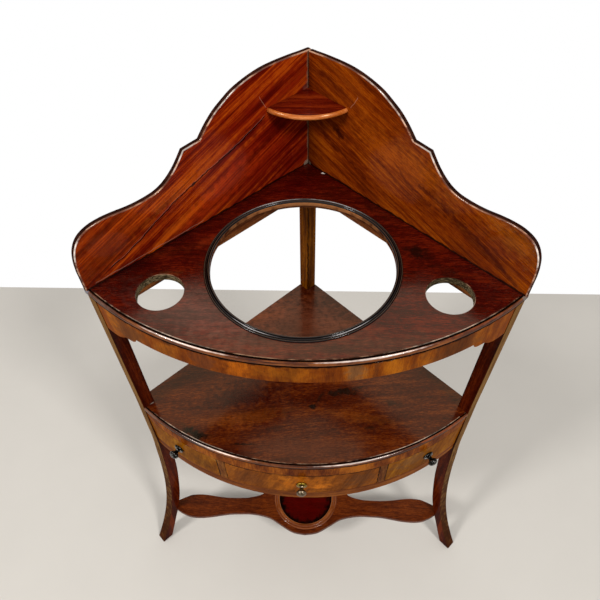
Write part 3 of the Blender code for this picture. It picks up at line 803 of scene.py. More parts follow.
def trim(bm: bmesh.types.BMesh, point: Vector, outward: Vector) -> None:
    """Cut a mesh off at a plane and close the cut.

    Args:
        bm: The mesh.
        point: A point on the plane.
        outward: The way to what is cut off.
    """
    geometry = bm.verts[:] + bm.edges[:] + bm.faces[:]
    found = bmesh.ops.bisect_plane(bm, geom=geometry, plane_co=point, plane_no=outward,
                                   clear_outer=True, dist=TINY / 4.0)
    edges = [item for item in found["geom_cut"] if isinstance(item, bmesh.types.BMEdge)]
    bmesh.ops.holes_fill(bm, edges=edges)


def trim_to_walls(plan: Plan, bm: bmesh.types.BMesh, inward: float) -> None:
    """Trim a mesh to both walls, and make each flat side one face.

    Args:
        plan: The stand's plan.
        bm: The mesh.
        inward: How far it stays from each wall.
    """
    for side in Side:
        trim(bm, plan.wall_point(side, 0.0, inward), -plan.wall_directions(side)[1])
    bmesh.ops.dissolve_limit(bm, angle_limit=math.radians(0.3), verts=bm.verts, edges=bm.edges)


def round_edges(bm: bmesh.types.BMesh, width: float, segments: int = 3, sharper_than: float = 50.0,
                keep: Callable[[bmesh.types.BMEdge], bool] = lambda edge: True) -> None:
    """Round the sharp edges that keep() picks.

    Args:
        bm: The mesh.
        width: How far the rounding reaches from the edge.
        segments: Steps across the rounding.
        sharper_than: The least angle of an edge to round, in degrees.
        keep: Which of the sharp edges to round.
    """
    edges = [e for e in bm.edges if e.calc_face_angle(0.0) > math.radians(sharper_than) and keep(e)]
    bmesh.ops.bevel(bm, geom=edges, offset=width, offset_type="OFFSET", affect="EDGES",
                    segments=segments, profile=0.5, clamp_overlap=True, material=-1)


def carve(obj: bpy.types.Object, cutters: Sequence[bmesh.types.BMesh]) -> None:
    """Cut shapes out of a piece for good, and use the cutters up.

    Args:
        obj: The piece.
        cutters: The shapes to cut out of it.
    """
    for bm in cutters:
        bmesh.ops.recalc_face_normals(bm, faces=bm.faces)
        mesh = bpy.data.meshes.new("cutter")
        bm.to_mesh(mesh)
        bm.free()
        cutter = bpy.data.objects.new("cutter", mesh)
        bpy.context.scene.collection.objects.link(cutter)
        modifier = obj.modifiers.new("Carving", "BOOLEAN")
        modifier.solver = "EXACT"
        modifier.object = cutter
        graph = bpy.context.evaluated_depsgraph_get()
        carved = bpy.data.meshes.new_from_object(obj.evaluated_get(graph))
        obj.modifiers.clear()
        obj.data = carved
        bpy.data.objects.remove(cutter, do_unlink=True)


def bowed_bar(plan: Plan, outer: float, depth: float, heights: Point, inward: float = 0.0,
              across: Point | None = None, rounding: float = 0.0008) -> bmesh.types.BMesh:
    """Bend a bar to the bow. It ends parallel to the walls or, with across, at two values of x.

    Args:
        plan: The stand's plan.
        outer: The radius of its face.
        depth: Its thickness.
        heights: Its lower and upper height.
        inward: How far its ends stay from the walls.
        across: The values of x where it ends.
        rounding: The radius of its two front edges.

    Returns:
        A closed mesh.
    """
    low, high = heights
    bm = swept(plan, [
        (outer - depth, low),
        (outer - depth, high),
        *arc((outer - rounding, high - rounding), (rounding, rounding), 90.0, 0.0, 4),
        *arc((outer - rounding, low + rounding), (rounding, rounding), 0.0, -90.0, 4),
    ])
    if across is None:
        trim_to_walls(plan, bm, inward)
    else:
        for x, outward in zip(across, (-1.0, 1.0)):
            trim(bm, Vector((x, plan.bow_y, 0.0)), Vector((outward, 0.0, 0.0)))
    return bm


def tier_under() -> float:
    """How high the tier's lower edge stands, where the legs begin to splay."""
    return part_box("tier_bottom_rail")[0].z


def wall_frame(plan: Plan, side: Side, inward: float, height: float = 0.0) -> Matrix:
    """Stand a drawing up parallel to a wall: its x runs along the wall and its y goes up.

    Args:
        plan: The stand's plan.
        side: Which wall.
        inward: The drawing's distance from the wall.
        height: Where its y starts.

    Returns:
        The matrix that stands it up.
    """
    along, into = plan.wall_directions(side)
    place = Matrix((along, (0.0, 0.0, 1.0), into)).transposed().to_4x4()
    place.translation = plan.wall_point(side, 0.0, inward, height)
    return place


@dataclass
class Piece:
    """A finished piece of the stand: its shape, finish, body, slot and the node it replaces."""

    name: str
    shape: bmesh.types.BMesh
    finish: bpy.types.Material
    slot: Slot
    grain: GrainRule = level_grain
    body: Body = Body.STAND
    stands_for: tuple[str, ...] = ()
    cutters: tuple[bmesh.types.BMesh, ...] = ()
    details: tuple[tuple[bpy.types.Material, FaceRule], ...] = ()

    def fit(self) -> None:
        """Close the shape, shade it, lay its grain and set it on its body."""
        bmesh.ops.recalc_face_normals(self.shape, faces=self.shape.faces)
        mesh = bpy.data.meshes.new(self.name)
        self.shape.to_mesh(mesh)
        self.shape.free()
        obj = bpy.data.objects.new(self.name, mesh)
        bpy.context.scene.collection.objects.link(obj)
        if self.cutters:
            carve(obj, self.cutters)
        obj.data.materials.clear()
        for finish in (self.finish, *(finish for finish, _ in self.details)):
            obj.data.materials.append(finish)
        self.shade(obj)
        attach(obj, self.body.value)
        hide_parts(*(self.stands_for or (self.name,)))
        log.info("%s: %d faces", self.name, len(obj.data.polygons))

    def shade(self, obj: bpy.types.Object) -> None:
        """Shade round faces smooth, keep flat ones flat, and write where the grain lies.

        Args:
            obj: The piece's object.
        """
        bm = bmesh.new()
        bm.from_mesh(obj.data)
        bmesh.ops.remove_doubles(bm, verts=bm.verts, dist=TINY)
        bmesh.ops.recalc_face_normals(bm, faces=bm.faces)
        layer = bm.verts.layers.float_vector.new("grain")
        for vert in bm.verts:
            vert[layer] = self.grain(vert.co)
        for face in bm.faces:
            face.smooth = True
            found = (index for index, (_, rule) in enumerate(self.details, 1) if rule(face))
            face.material_index = next(found, 0)
        for edge in bm.edges:
            edge.smooth = edge.calc_face_angle(0.0) < math.radians(ROUND_ANGLE)
        bm.to_mesh(obj.data)
        bm.free()
        obj.data.name = self.name
        weighted = obj.modifiers.new("Even shading", "WEIGHTED_NORMAL")
        weighted.keep_sharp = True


def middle_reach(face: bmesh.types.BMFace, centre: Vector) -> float:
    """How far a face's middle lies from an upright axis."""
    return (face.calc_center_median() - centre).xy.length


def between(face: bmesh.types.BMFace, centre: Vector, nearest: float, furthest: float) -> bool:
    """Whether a whole face lies between two distances from an upright axis."""
    reaches = [(vert.co - centre).xy.length for vert in face.verts]
    return min(reaches) > nearest - NEAR and max(reaches) < furthest + NEAR


# Shares of the curved outlines, as in the part's own drawing

SPLASH_CROWN_SHARES = (
    (0.0, 0.982), (0.0429, 0.9863), (0.0969, 0.9947), (0.1741, 1.0), (0.2320, 0.9937),
    (0.2899, 0.9715), (0.3439, 0.9368), (0.3873, 0.8894), (0.4230, 0.8430), (0.4588, 0.7777),
    (0.4925, 0.6997),
)
SPLASH_WING_SHARES = (
    (0.5592, 0.6870), (0.5746, 0.6449), (0.5967, 0.5901), (0.6228, 0.5395), (0.6518, 0.4995),
    (0.6855, 0.4742), (0.7338, 0.4647), (0.7820, 0.4679), (0.8303, 0.4816), (0.8737, 0.4879),
    (0.9123, 0.4816), (0.9461, 0.4563), (0.9702, 0.4131), (0.9875, 0.3456), (0.9965, 0.2634),
    (1.0, 0.179),
)
LEG_OUTER_SHARES = (
    (-0.35, 0.0), (-0.22, 0.011), (-0.11, 0.020), (0.0, 0.028), (0.1395, 0.070), (0.2386, 0.099),
    (0.3376, 0.140), (0.4366, 0.191), (0.5357, 0.260), (0.6347, 0.351), (0.7337, 0.477),
    (0.8328, 0.640), (0.9318, 0.842), (1.0, 1.0),
)
LEG_INNER_SHARES = (
    (0.0, 0.0), (0.1395, 0.039), (0.2386, 0.077), (0.3376, 0.117), (0.4366, 0.177), (0.5357, 0.249),
    (0.6347, 0.344), (0.7337, 0.485), (0.8328, 0.660), (0.9318, 0.833), (1.0, 0.958),
)
APRON_BRACKET_SHARES = (
    (0.0, 0.0), (0.035, 0.19), (0.076, 0.30), (0.123, 0.385), (0.204, 0.42), (0.284, 0.433),
    (0.347, 0.45), (0.409, 0.585), (0.510, 0.785), (0.610, 0.905), (0.709, 0.96), (0.838, 0.99),
    (1.0, 1.0),
)
DISC_FRONT_SHARES = ((0.0, 1.0), (20.0, 1.0), (43.0, 1.02), (59.0, 1.133))
DISC_REAR_SHARES = ((102.0, 1.092), (113.0, 1.017), (129.0, 0.985), (148.0, 1.002), (163.0, 1.086))
ARM_FRONT_SHARES = (
    (0.101, 0.708), (0.209, 0.602), (0.322, 0.616), (0.426, 0.659), (0.530, 0.783), (0.639, 0.925),
    (0.761, 1.0), (0.857, 0.932), (0.914, 0.766), (0.961, 0.590), (1.008, 0.366), (1.062, 0.108),
)
ARM_REAR_SHARES = (
    (1.042, -0.221), (1.004, -0.366), (0.961, -0.530), (0.914, -0.695), (0.857, -0.857),
    (0.761, -0.911), (0.666, -0.857), (0.552, -0.732), (0.444, -0.671), (0.330, -0.678),
    (0.222, -0.746), (0.100, -1.016),
)
BACK_ARM_SHARES = (
    (0.119, 0.714), (0.245, 0.649), (0.371, 0.703), (0.497, 0.843), (0.615, 0.930), (0.717, 0.897),
    (0.827, 0.692), (0.921, 0.432), (1.0, 0.238), (1.055, 0.108),
)
KNOB_HEAD_SHARES = (
    (0.0, 1.0), (0.30, 0.985), (0.60, 0.945), (0.84, 0.87), (0.97, 0.775), (1.0, 0.70),
    (0.93, 0.62), (0.74, 0.545), (0.52, 0.475), (0.42, 0.39), (0.40, 0.31),
)
KNOB_ROSE_SHARES = ((0.44, 0.235), (0.62, 0.195), (0.86, 0.165), (0.97, 0.12), (1.0, 0.07))
BASIN_RING_SHARES = (
    (0.0, 0.45), (0.08, 0.82), (0.20, 0.98), (0.33, 0.86), (0.40, 0.55), (0.47, 0.78), (0.58, 0.92),
    (0.69, 0.76), (0.75, 0.45), (0.84, 0.58), (0.94, 0.42), (1.0, 0.0),
)
DISH_RIM_SHARES = (
    (0.0, 0.62), (0.10, 0.90), (0.28, 1.0), (0.46, 0.88), (0.56, 0.55), (0.66, 0.60), (0.82, 0.52),
    (0.94, 0.32), (1.0, 0.0),
)


@dataclass
class SplashBoards:
    """The two shaped boards against the walls and the small shelf in their corner."""

    plan: Plan
    left: Mahogany
    right: Mahogany
    shelf: Mahogany
    edge: Mahogany
    arris: Mahogany
    nose: Mahogany
    back: Mahogany
    thickness: float = 0.009
    rounding: float = 0.0032
    shelf_radius: float = 0.0975
    shelf_centre_back: float = 0.012

    def outline(self, start: float, height: float) -> list[Point]:
        """Draw a board with its crown, step and wing.

        Args:
            start: Where it starts along the wall.
            height: The board's height.

        Returns:
            Its corners, as (run, height).
        """
        run = self.plan.wall_reach(self.plan.bow_radius)
        crown, wing = (
            smooth_run([(along * run, rise * height) for along, rise in table])
            for table in (SPLASH_CROWN_SHARES, SPLASH_WING_SHARES)
        )
        first = (start, share_at(crown, start))
        crown = [point for point in crown if point[0] > start + self.rounding]
        return [(start, 0.0), first, *crown, *wing, (run, 0.0)]

    def build(self) -> None:
        """Make the boards and the shelf."""
        self.board(Side.LEFT, self.left, 0.0)
        self.board(Side.RIGHT, self.right, self.thickness + JOINT_GAP)
        self.soap_shelf()

    def board(self, side: Side, finish: Mahogany, start: float) -> None:
        """Make one board.

        Args:
            side: Which wall it stands against.
            finish: The finish of its face.
            start: Where it starts along the wall.
        """
        name = "splash_board_" + side.label
        low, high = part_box(name)
        shape = slab(self.outline(start, high.z - low.z), self.thickness)
        round_edges(shape, self.rounding, 6,
                    keep=lambda edge: max(v.co.y for v in edge.verts) > TINY)
        place = wall_frame(self.plan, side, self.thickness / 2.0, low.z)
        bmesh.ops.transform(shape, matrix=place, verts=shape.verts)
        rule = self.plan.wall_grain(side)
        inward = self.plan.wall_directions(side)[1]

        def grain(p: Vector) -> tuple[float, float, float]:
            """Grain that runs along the wall, with heights from the top board."""
            along, height, depth = rule(p)
            return (along, height - low.z, depth)

        Piece(name, shape, finish.make(), Slot.SPLASH, grain, details=(
            (self.back.make(), lambda face: face.normal.dot(inward) < -0.96),
            # The front rounding takes a paler finish with painted highlights
            (self.arris.make(), lambda face: 0.55 < face.normal.dot(inward) < 0.96),
            (self.edge.make(),
             lambda face: face.normal.dot(inward) < 0.94 and face.normal.z > -0.7),
        )).fit()

    def soap_shelf(self) -> None:
        """Make the small shelf between the boards."""
        low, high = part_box("soap_shelf")
        nose = (high.z - low.z) / 2.0
        forward = self.shelf_centre_back
        profile = [(forward / 2.0, low.z), (forward / 2.0, high.z)]
        profile += arc((self.shelf_radius - nose, low.z + nose), (nose, nose), 90.0, -90.0, 13)
        centre_y = self.plan.corner_y - self.thickness * math.sqrt(2.0) + forward
        shape = swept(self.plan, profile, 70.0, 96, centre_y)
        trim_to_walls(self.plan, shape, self.thickness + JOINT_GAP)
        reach = self.shelf_radius - nose * 0.8
        centre = Vector((0.0, centre_y, 0.0))
        Piece("soap_shelf", shape, self.shelf.make(), Slot.SPLASH, details=(
            (self.nose.make(), lambda face: middle_reach(face, centre) > reach),
        )).fit()


@dataclass
class BowedBoard:
    """A quarter-round board whose bowed edge is worked with a quirk and a bead."""

    plan: Plan
    name: str
    slot: Slot
    finish: Mahogany
    bead_finish: Mahogany
    quirk_finish: Mahogany
    arris_finish: Mahogany
    hole_finish: Mahogany
    back_finish: Mahogany
    arris_width: float = 0.0012
    arris_drop: float = 0.0002
    quirk_width: float = 0.0012
    quirk_depth: float = 0.0016
    bead_width: float = 0.0048
    bead_from: float = 150.0
    bead_to: float = -62.0
    hole_ease: float = 0.0008

    @property
    def bead_inside(self) -> float:
        """How far from the bow's centre the bead starts."""
        return self.plan.bow_radius - self.bead_width

    @property
    def quirk_inside(self) -> float:
        """How far from the bow's centre the quirk starts."""
        return self.bead_inside - self.quirk_width

    def shape(self) -> bmesh.types.BMesh:
        """Sweep the board's section and trim it to the walls.

        Returns:
            The board without its holes.
        """
        low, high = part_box(self.name)
        top, under = high.z, low.z
        back = (self.plan.bow_y - self.plan.corner_y) / 2.0
        half = (self.bead_width / 2.0, (top - under) / 2.0)
        bead_middle = (self.bead_inside + half[0], under + half[1])
        shape = swept(self.plan, [
            (back, under),
            (back, top),
            (self.quirk_inside - self.arris_width, top),
            (self.quirk_inside, top - self.arris_drop),
            (self.quirk_inside + self.quirk_width / 3.0, top - self.quirk_depth),
            (self.bead_inside, top - self.quirk_depth),
            *arc(bead_middle, half, self.bead_from, self.bead_to, 19),
            (self.bead_inside + self.bead_width * 0.2, under),
        ])
        trim_to_walls(self.plan, shape, 0.0)
        return shape

    def hole(self, x: float, y: float, radius: float) -> bmesh.types.BMesh:
        """Turn a cutter for a round hole with slightly eased rims.

        Args:
            x: The hole's middle across the stand.
            y: Its middle from back to front.
            radius: Its radius.

        Returns:
            The cutter.
        """
        low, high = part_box(self.name)
        top, ease, over = high.z, self.hole_ease, 0.002
        bm = turned([
            (0.0, top + over),
            (radius + ease + over, top + over),
            (radius + ease, top),
            (radius + ease * 0.3, top - ease * 0.3),
            (radius, top - ease),
            (radius, low.z - over),
            (0.0, low.z - over),
        ], HOLE_STEPS)
        bmesh.ops.translate(bm, verts=bm.verts, vec=(x, y, 0.0))
        return bm

    def build(self, cutters: Sequence[bmesh.types.BMesh] = ()) -> None:
        """Make the board and cut its holes or notches.

        Args:
            cutters: What to cut out of it.
        """
        centre = Vector((0.0, self.plan.bow_y, 0.0))
        bow_rule = self.plan.bow_grain(self.plan.bow_radius)

        def on_arris(face: bmesh.types.BMFace) -> bool:
            """Whether a face is the strip inside the quirk, worn pale and with painted highlights.
            """
            return (between(face, centre, self.quirk_inside - self.arris_width, self.quirk_inside)
                    and face.normal.z > 0.9)

        def in_quirk(face: bmesh.types.BMFace) -> bool:
            """Whether a face lies in the quirk."""
            return (between(face, centre, self.quirk_inside, self.bead_inside + 0.0004)
                    and face.normal.z > -0.5)

        def on_bead(face: bmesh.types.BMFace) -> bool:
            """Whether a face lies on the bead."""
            return between(face, centre, self.bead_inside, 1.0)

        def grain(p: Vector) -> tuple[float, float, float]:
            """Grain that follows the bead round the bow and runs straight across the board.

            Args:
                p: A point of the board.

            Returns:
                How far it lies along the grain, across it and into the board.
            """
            along, height, reach = bow_rule(p)
            if reach > self.bead_inside - TINY:
                return (along, reach - self.plan.bow_radius, height)
            return tuple(p)

        details = (
            (self.arris_finish.make(), on_arris),
            (self.quirk_finish.make(), in_quirk),
            # The bead's downward faces: painted shade under the bead
            (self.quirk_finish.make(), lambda face: on_bead(face) and face.normal.z < -0.04),
            (self.bead_finish.make(), on_bead),
            (self.arris_finish.make(),
             lambda face: 0.2 < face.normal.z < 0.97 and self.is_hole(face)),
            (self.hole_finish.make(), lambda face: abs(face.normal.z) < 0.5 and self.is_bare(face)),
            (self.back_finish.make(), lambda face: face.normal.z < 0.5),
        )
        Piece(self.name, self.shape(), self.finish.make(), self.slot, grain,
              cutters=tuple(cutters), details=details).fit()

    def is_hole(self, face: bmesh.types.BMFace) -> bool:
        """Whether a face belongs to a hole's wall.

        Args:
            face: A face of the board.

        Returns:
            Whether it does, and not to a side against a wall.
        """
        middle = face.calc_center_median()
        for side in Side:
            inward = self.plan.wall_directions(side)[1]
            if (middle - self.plan.wall_point(side, 0.0, 0.0)).dot(inward) <= 0.001:
                return False
        return True

    def is_bare(self, face: bmesh.types.BMFace) -> bool:
        """Whether a face belongs to a hole's wall that never had stain or polish."""
        return self.is_hole(face)


@dataclass
class TopBoard(BowedBoard):
    """The top with holes for a basin and two tumblers, and the turned ring round the basin's."""

    ring_finish: Mahogany | None = None
    lip_finish: Mahogany | None = None
    basin_radius: float = 0.143
    tumbler_radius: float = 0.0347
    tumbler_front_margin: float = 0.0295
    tumbler_angle: float = 30.47
    lip_thickness: float = 0.0022
    lip_rise: float = 0.0004

    def make(self) -> None:
        """Make the board and its ring."""
        ring_low, ring_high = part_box("basin_ring")
        basin = (ring_low + ring_high) / 2.0
        out = self.plan.bow_radius - self.tumbler_front_margin - self.tumbler_radius
        spot = self.plan.bow_point(self.tumbler_angle, out, 0.0)
        holes = [self.hole(basin.x, basin.y, self.basin_radius)]
        holes += [self.hole(side.value * spot.x, spot.y, self.tumbler_radius) for side in Side]
        self.build(holes)
        self.ring(basin, ring_low.z, ring_high)

    def is_bare(self, face: bmesh.types.BMFace) -> bool:
        """Whether a face belongs to a tumbler hole's wall; the basin's is stained."""
        return self.is_hole(face) and abs(face.calc_center_median().x) > self.basin_radius + TINY

    def ring(self, basin: Vector, foot: float, ring_high: Vector) -> None:
        """Make the reeded ring with its lip down into the hole.

        Args:
            basin: The middle of the basin's hole.
            foot: How low the lip reaches.
            ring_high: The highest corner of the ring's box.
        """
        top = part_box(self.name)[1].z
        seat, lip_top = top + JOINT_GAP, top + self.lip_rise
        lip_outer = self.basin_radius - JOINT_GAP
        lip_inner = lip_outer - self.lip_thickness
        width, rise = ring_high.x - basin.x - lip_inner, ring_high.z - top - JOINT_GAP
        crown = max(up for _, up in BASIN_RING_SHARES)
        upper = smooth_run([(lip_inner + width * across, seat + rise * up / crown)
                            for across, up in BASIN_RING_SHARES], 4)
        start, end = (lip_inner, foot), (lip_outer, foot)
        section = [start, (lip_inner, lip_top), *upper, (lip_outer, seat), end, start]
        shape = turned(section, RING_STEPS)
        bmesh.ops.translate(shape, verts=shape.verts, vec=(basin.x, basin.y, 0.0))
        centre = Vector((basin.x, basin.y, 0.0))
        finish = replace(self.ring_finish, marks=self.ring_marks(lip_inner, width))
        Piece("basin_ring", shape, finish.make(), Slot.TOP, ring_grain(centre, lip_inner), details=(
            (self.lip_finish.make(), lambda face: between(face, centre, 0.0, lip_outer)
             and max(vert.co.z for vert in face.verts) < lip_top + TINY),
        )).fit()

    @staticmethod
    def ring_marks(inner: float, width: float) -> tuple[Mark | Seam, ...]:
        """List the painted shade between the ring's reeds, painted highlights on them and a worn
        line inside.

        Args:
            inner: The ring's inner radius.
            width: The width of its moulding.

        Returns:
            The marks for its finish.
        """
        # dark is painted shade in the grooves; worn and bright are painted highlights on the crests
        dark, worn, bright = paint(5, 3, 3), paint(104, 80, 62), paint(214, 206, 204)
        lines = (((0.40, 0.75, 0.98), 0.0012, dark, 0.95), ((0.20, 0.84), 0.0006, worn, 0.45))
        inside, crest, outside = (inner + width * share for share in (0.08, 0.58, 0.90))
        marks: list[Mark | Seam] = []
        for shares, breadth, colour, strength in lines:
            for radius in (inner + width * share for share in shares):
                marks.append(Seam(((-0.6, radius), (0.6, radius)), breadth, colour, strength, 0.1))
        # Bright painted highlights on the middle crest, at the front and towards the back
        for along, length in ((0.068, 0.09), (0.39, 0.17)):
            marks.append(Mark(along, crest, length, 0.0016, bright, 0.75, 0.9, raggedness=0.1))
        marks.append(Mark(0.0, inside, 0.13, 0.0018, paint(158, 96, 54), 0.6, 0.85))
        # A painted highlight on the outer edge at the back
        marks.append(Mark(0.4414, outside, 0.20, 0.0014, paint(150, 138, 118), 0.6, 0.85))
        return tuple(marks)


@dataclass
class TopFrame:
    """The bowed apron and the two rails below the top."""

    plan: Plan
    leg_run: float
    apron: Mahogany
    rails: Mahogany
    bracket_width: float = 0.0606
    bracket_drop: float = 0.026
    rail_thickness: float = 0.016
    rail_rounding: float = 0.0012

    def room_between_brackets(self, low: float) -> bmesh.types.BMesh:
        """Draw the room below the apron and its two end brackets.

        Args:
            low: The apron's lower edge between the brackets.

        Returns:
            A cutter for the apron.
        """
        plan = self.plan
        leg_side = plan.wall_point(Side.RIGHT, self.leg_run, plan.post_side).x
        half = smooth_run([
            (leg_side - self.bracket_width * (1.0 - along), low - self.bracket_drop * down)
            for along, down in APRON_BRACKET_SHARES
        ], 4)
        end = leg_side + plan.post_side
        half += [(end, low - self.bracket_drop), (end, low - 2.0 * self.bracket_drop)]
        room = slab([*half, *((-x, z) for x, z in reversed(half))], plan.face_radius)
        stand_up = Matrix.Rotation(math.radians(90.0), 4, "X")
        place = Matrix.Translation((0.0, plan.bow_y - plan.face_radius, 0.0))
        bmesh.ops.transform(room, matrix=place @ stand_up, verts=room.verts)
        return room

    def build(self) -> None:
        """Make the apron and the rails."""
        low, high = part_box("top_apron")
        face = self.plan.face_radius
        shape = bowed_bar(self.plan, face, FRONT_THICKNESS, (low.z - 0.004, high.z),
                          self.plan.post_side + JOINT_GAP)
        Piece("top_apron", shape, self.apron.make(), Slot.FRONT, self.plan.bow_grain(face),
              cutters=(self.room_between_brackets(low.z + self.bracket_drop),)).fit()
        ends = (self.plan.post_side + JOINT_GAP, self.leg_run - self.plan.post_side - JOINT_GAP)
        for side in Side:
            name = "top_rail_" + side.label
            low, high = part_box(name)
            shape = bar(self.plan, side, ends, (0.0, self.rail_thickness), (low.z, high.z))
            round_edges(shape, self.rail_rounding)
            Piece(name, shape, self.rails.make(), Slot.CARCASE, self.plan.wall_grain(side)).fit()


@dataclass
class Legs:
    """The two sabre front legs and the straight post in the corner."""

    plan: Plan
    leg: Mahogany
    strip: Mahogany
    post: Mahogany
    setback: float = 0.0002
    splay_width: float = 0.0948
    rounding: float = 0.0014

    @property
    def outer_run(self) -> float:
        """How far along its wall a leg's outer side stands above the tier."""
        return self.plan.wall_reach(self.plan.face_radius) - self.setback

    def outline(self, curve_from: float, top: float) -> list[Point]:
        """Draw a front leg from the floor up.

        Args:
            curve_from: How high the splay starts.
            top: The leg's height.

        Returns:
            Its corners, as (run, height).
        """
        inner_run = self.outer_run - self.plan.post_side
        outer, inner = (
            smooth_run([(run + splay * self.splay_width, curve_from * (1.0 - drop))
                        for drop, splay in table])
            for run, table in ((self.outer_run, LEG_OUTER_SHARES), (inner_run, LEG_INNER_SHARES))
        )
        return [(inner_run, top), (self.outer_run, top), *outer, *reversed(inner)]

    def build(self) -> None:
        """Make the legs and the post."""
        for side in Side:
            self.front_leg(side)
        low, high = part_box("rear_post")
        section = (0.0, self.plan.post_side)
        shape = bar(self.plan, Side.RIGHT, section, section, (low.z, high.z))
        round_edges(shape, self.rounding)
        Piece("rear_post", shape, self.post.make(), Slot.LEG, upright_grain).fit()

    def front_leg(self, side: Side) -> None:
        """Make one sabre leg.

        Args:
            side: Which wall it stands against.
        """
        name = "front_leg_" + side.label
        shape = slab(self.outline(tier_under(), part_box(name)[1].z), self.plan.post_side)
        round_edges(shape, self.rounding)
        place = wall_frame(self.plan, side, self.plan.post_side / 2.0)
        bmesh.ops.transform(shape, matrix=place, verts=shape.verts)
        rule = self.plan.wall_grain(side)
        outward = self.plan.wall_directions(side)[0]

        def grain(p: Vector) -> tuple[float, float, float]:
            """Grain that runs up the leg."""
            along, height, depth = rule(p)
            return (height, along, depth)

        Piece(name, shape, self.leg.make(), Slot.LEG, grain, details=(
            # The outward side takes a paler finish: painted sheen
            (self.strip.make(), lambda face: face.normal.dot(outward) > 0.6),
        )).fit()


@dataclass
class ShelfBoard(BowedBoard):
    """The shelf over the drawer, notched round the three legs."""

    def make(self, leg_run: float) -> None:
        """Make the shelf and cut its notches.

        Args:
            leg_run: Where the front legs' inner sides stand along the walls.
        """
        low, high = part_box(self.name)
        heights = (low.z - OVERSHOOT, high.z + OVERSHOOT)
        section = (-OVERSHOOT, self.plan.post_side + JOINT_GAP)
        leg_runs = (leg_run - JOINT_GAP, leg_run + 0.05)
        cutters = [bar(self.plan, side, leg_runs, section, heights) for side in Side]
        cutters.append(bar(self.plan, Side.RIGHT, section, section, heights))
        self.build(cutters)


@dataclass
class TierFronts:
    """The bowed rails, stiles and false drawers round the drawer."""

    plan: Plan
    band: Mahogany
    stile: Mahogany
    lower: Mahogany
    false_front: Mahogany
    lower_depth: float = 0.046
    end_clearance: float = 0.0004

    def build(self) -> None:
        """Make the rails, the stiles and the false drawers."""
        face, inward = self.plan.face_radius, self.plan.post_side + JOINT_GAP
        rule = self.plan.bow_grain(face)
        for name, finish, depth in (("tier_top_rail", self.band, FRONT_THICKNESS),
                                    ("tier_bottom_rail", self.lower, self.lower_depth)):
            low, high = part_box(name)
            shape = bowed_bar(self.plan, face, depth, (low.z, high.z), inward)
            Piece(name, shape, finish.make(), Slot.FRONT, rule).fit()
        for side in Side:
            name = "drawer_stile_" + side.label
            low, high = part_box(name)
            shape = bowed_bar(self.plan, face, FRONT_THICKNESS, (low.z, high.z),
                              across=(low.x, high.x))
            Piece(name, shape, self.stile.make(), Slot.FRONT, rule).fit()
            name = "false_drawer_" + side.label
            low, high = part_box(name)
            shape = bowed_bar(self.plan, face, FRONT_THICKNESS, (low.z, high.z),
                              inward + self.end_clearance)
            inner_end = low.x if side is Side.RIGHT else high.x
            trim(shape, Vector((inner_end, 0.0, 0.0)), Vector((-side.value, 0.0, 0.0)))
            Piece(name, shape, self.false_front.make(), Slot.FRONT, rule).fit()


@dataclass
class Knob:
    """A turned brass knob on its rose."""

    plan: Plan
    name: str
    finish: Metal
    rose_finish: Metal
    body: Body = Body.STAND
    head_radius: float = 0.0093
    rose_radius: float = 0.0102
    projection: float = 0.0222
    shank_radius: float = 0.0022
    shank_length: float = 0.0216
    rose_share: float = 0.26

    def build(self) -> None:
        """Turn the knob and stand it square on the bow."""
        low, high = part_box(self.name)
        middle = (low + high) / 2.0
        angle = math.atan2(middle.x, self.plan.bow_y - middle.y)
        tables = ((self.head_radius, KNOB_HEAD_SHARES, 4), (self.rose_radius, KNOB_ROSE_SHARES, 3))
        head, rose = (
            smooth_run([(radius * across, self.projection * up) for across, up in table], steps)
            for radius, table, steps in tables
        )
        shape = turned([
            *head,
            *rose,
            (self.rose_radius, JOINT_GAP),
            (self.shank_radius, JOINT_GAP),
            (self.shank_radius, -self.shank_length),
            (0.0, -self.shank_length),
        ], 48)
        spot = self.plan.bow_point(math.degrees(angle), self.plan.face_radius, middle.z)
        turn = Matrix.Rotation(angle, 4, "Z") @ Matrix.Rotation(math.radians(90.0), 4, "X")
        bmesh.ops.transform(shape, matrix=Matrix.Translation(spot) @ turn, verts=shape.verts)
        centre = Vector((0.0, self.plan.bow_y, 0.0))
        rose_reach = self.plan.face_radius + self.projection * self.rose_share
        Piece(self.name, shape, self.finish.make(), Slot.KNOB, body=self.body, details=(
            (self.rose_finish.make(), lambda face: middle_reach(face, centre) < rose_reach),
        )).fit()


@dataclass
class Drawer:
    """The sliding drawer's bowed front; its box keeps its CAD pieces."""

    plan: Plan
    front: Mahogany
    edge: Mahogany

    def build(self) -> None:
        """Make the front."""
        low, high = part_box("drawer_front")
        face = self.plan.face_radius
        shape = bowed_bar(self.plan, face, FRONT_THICKNESS, (low.z, high.z), across=(low.x, high.x))
        Piece("drawer_front", shape, self.front.make(), Slot.FRONT, self.plan.bow_grain(face),
              Body.DRAWER, details=(
            (self.edge.make(), lambda face: face.normal.y > -0.5),
        )).fit()


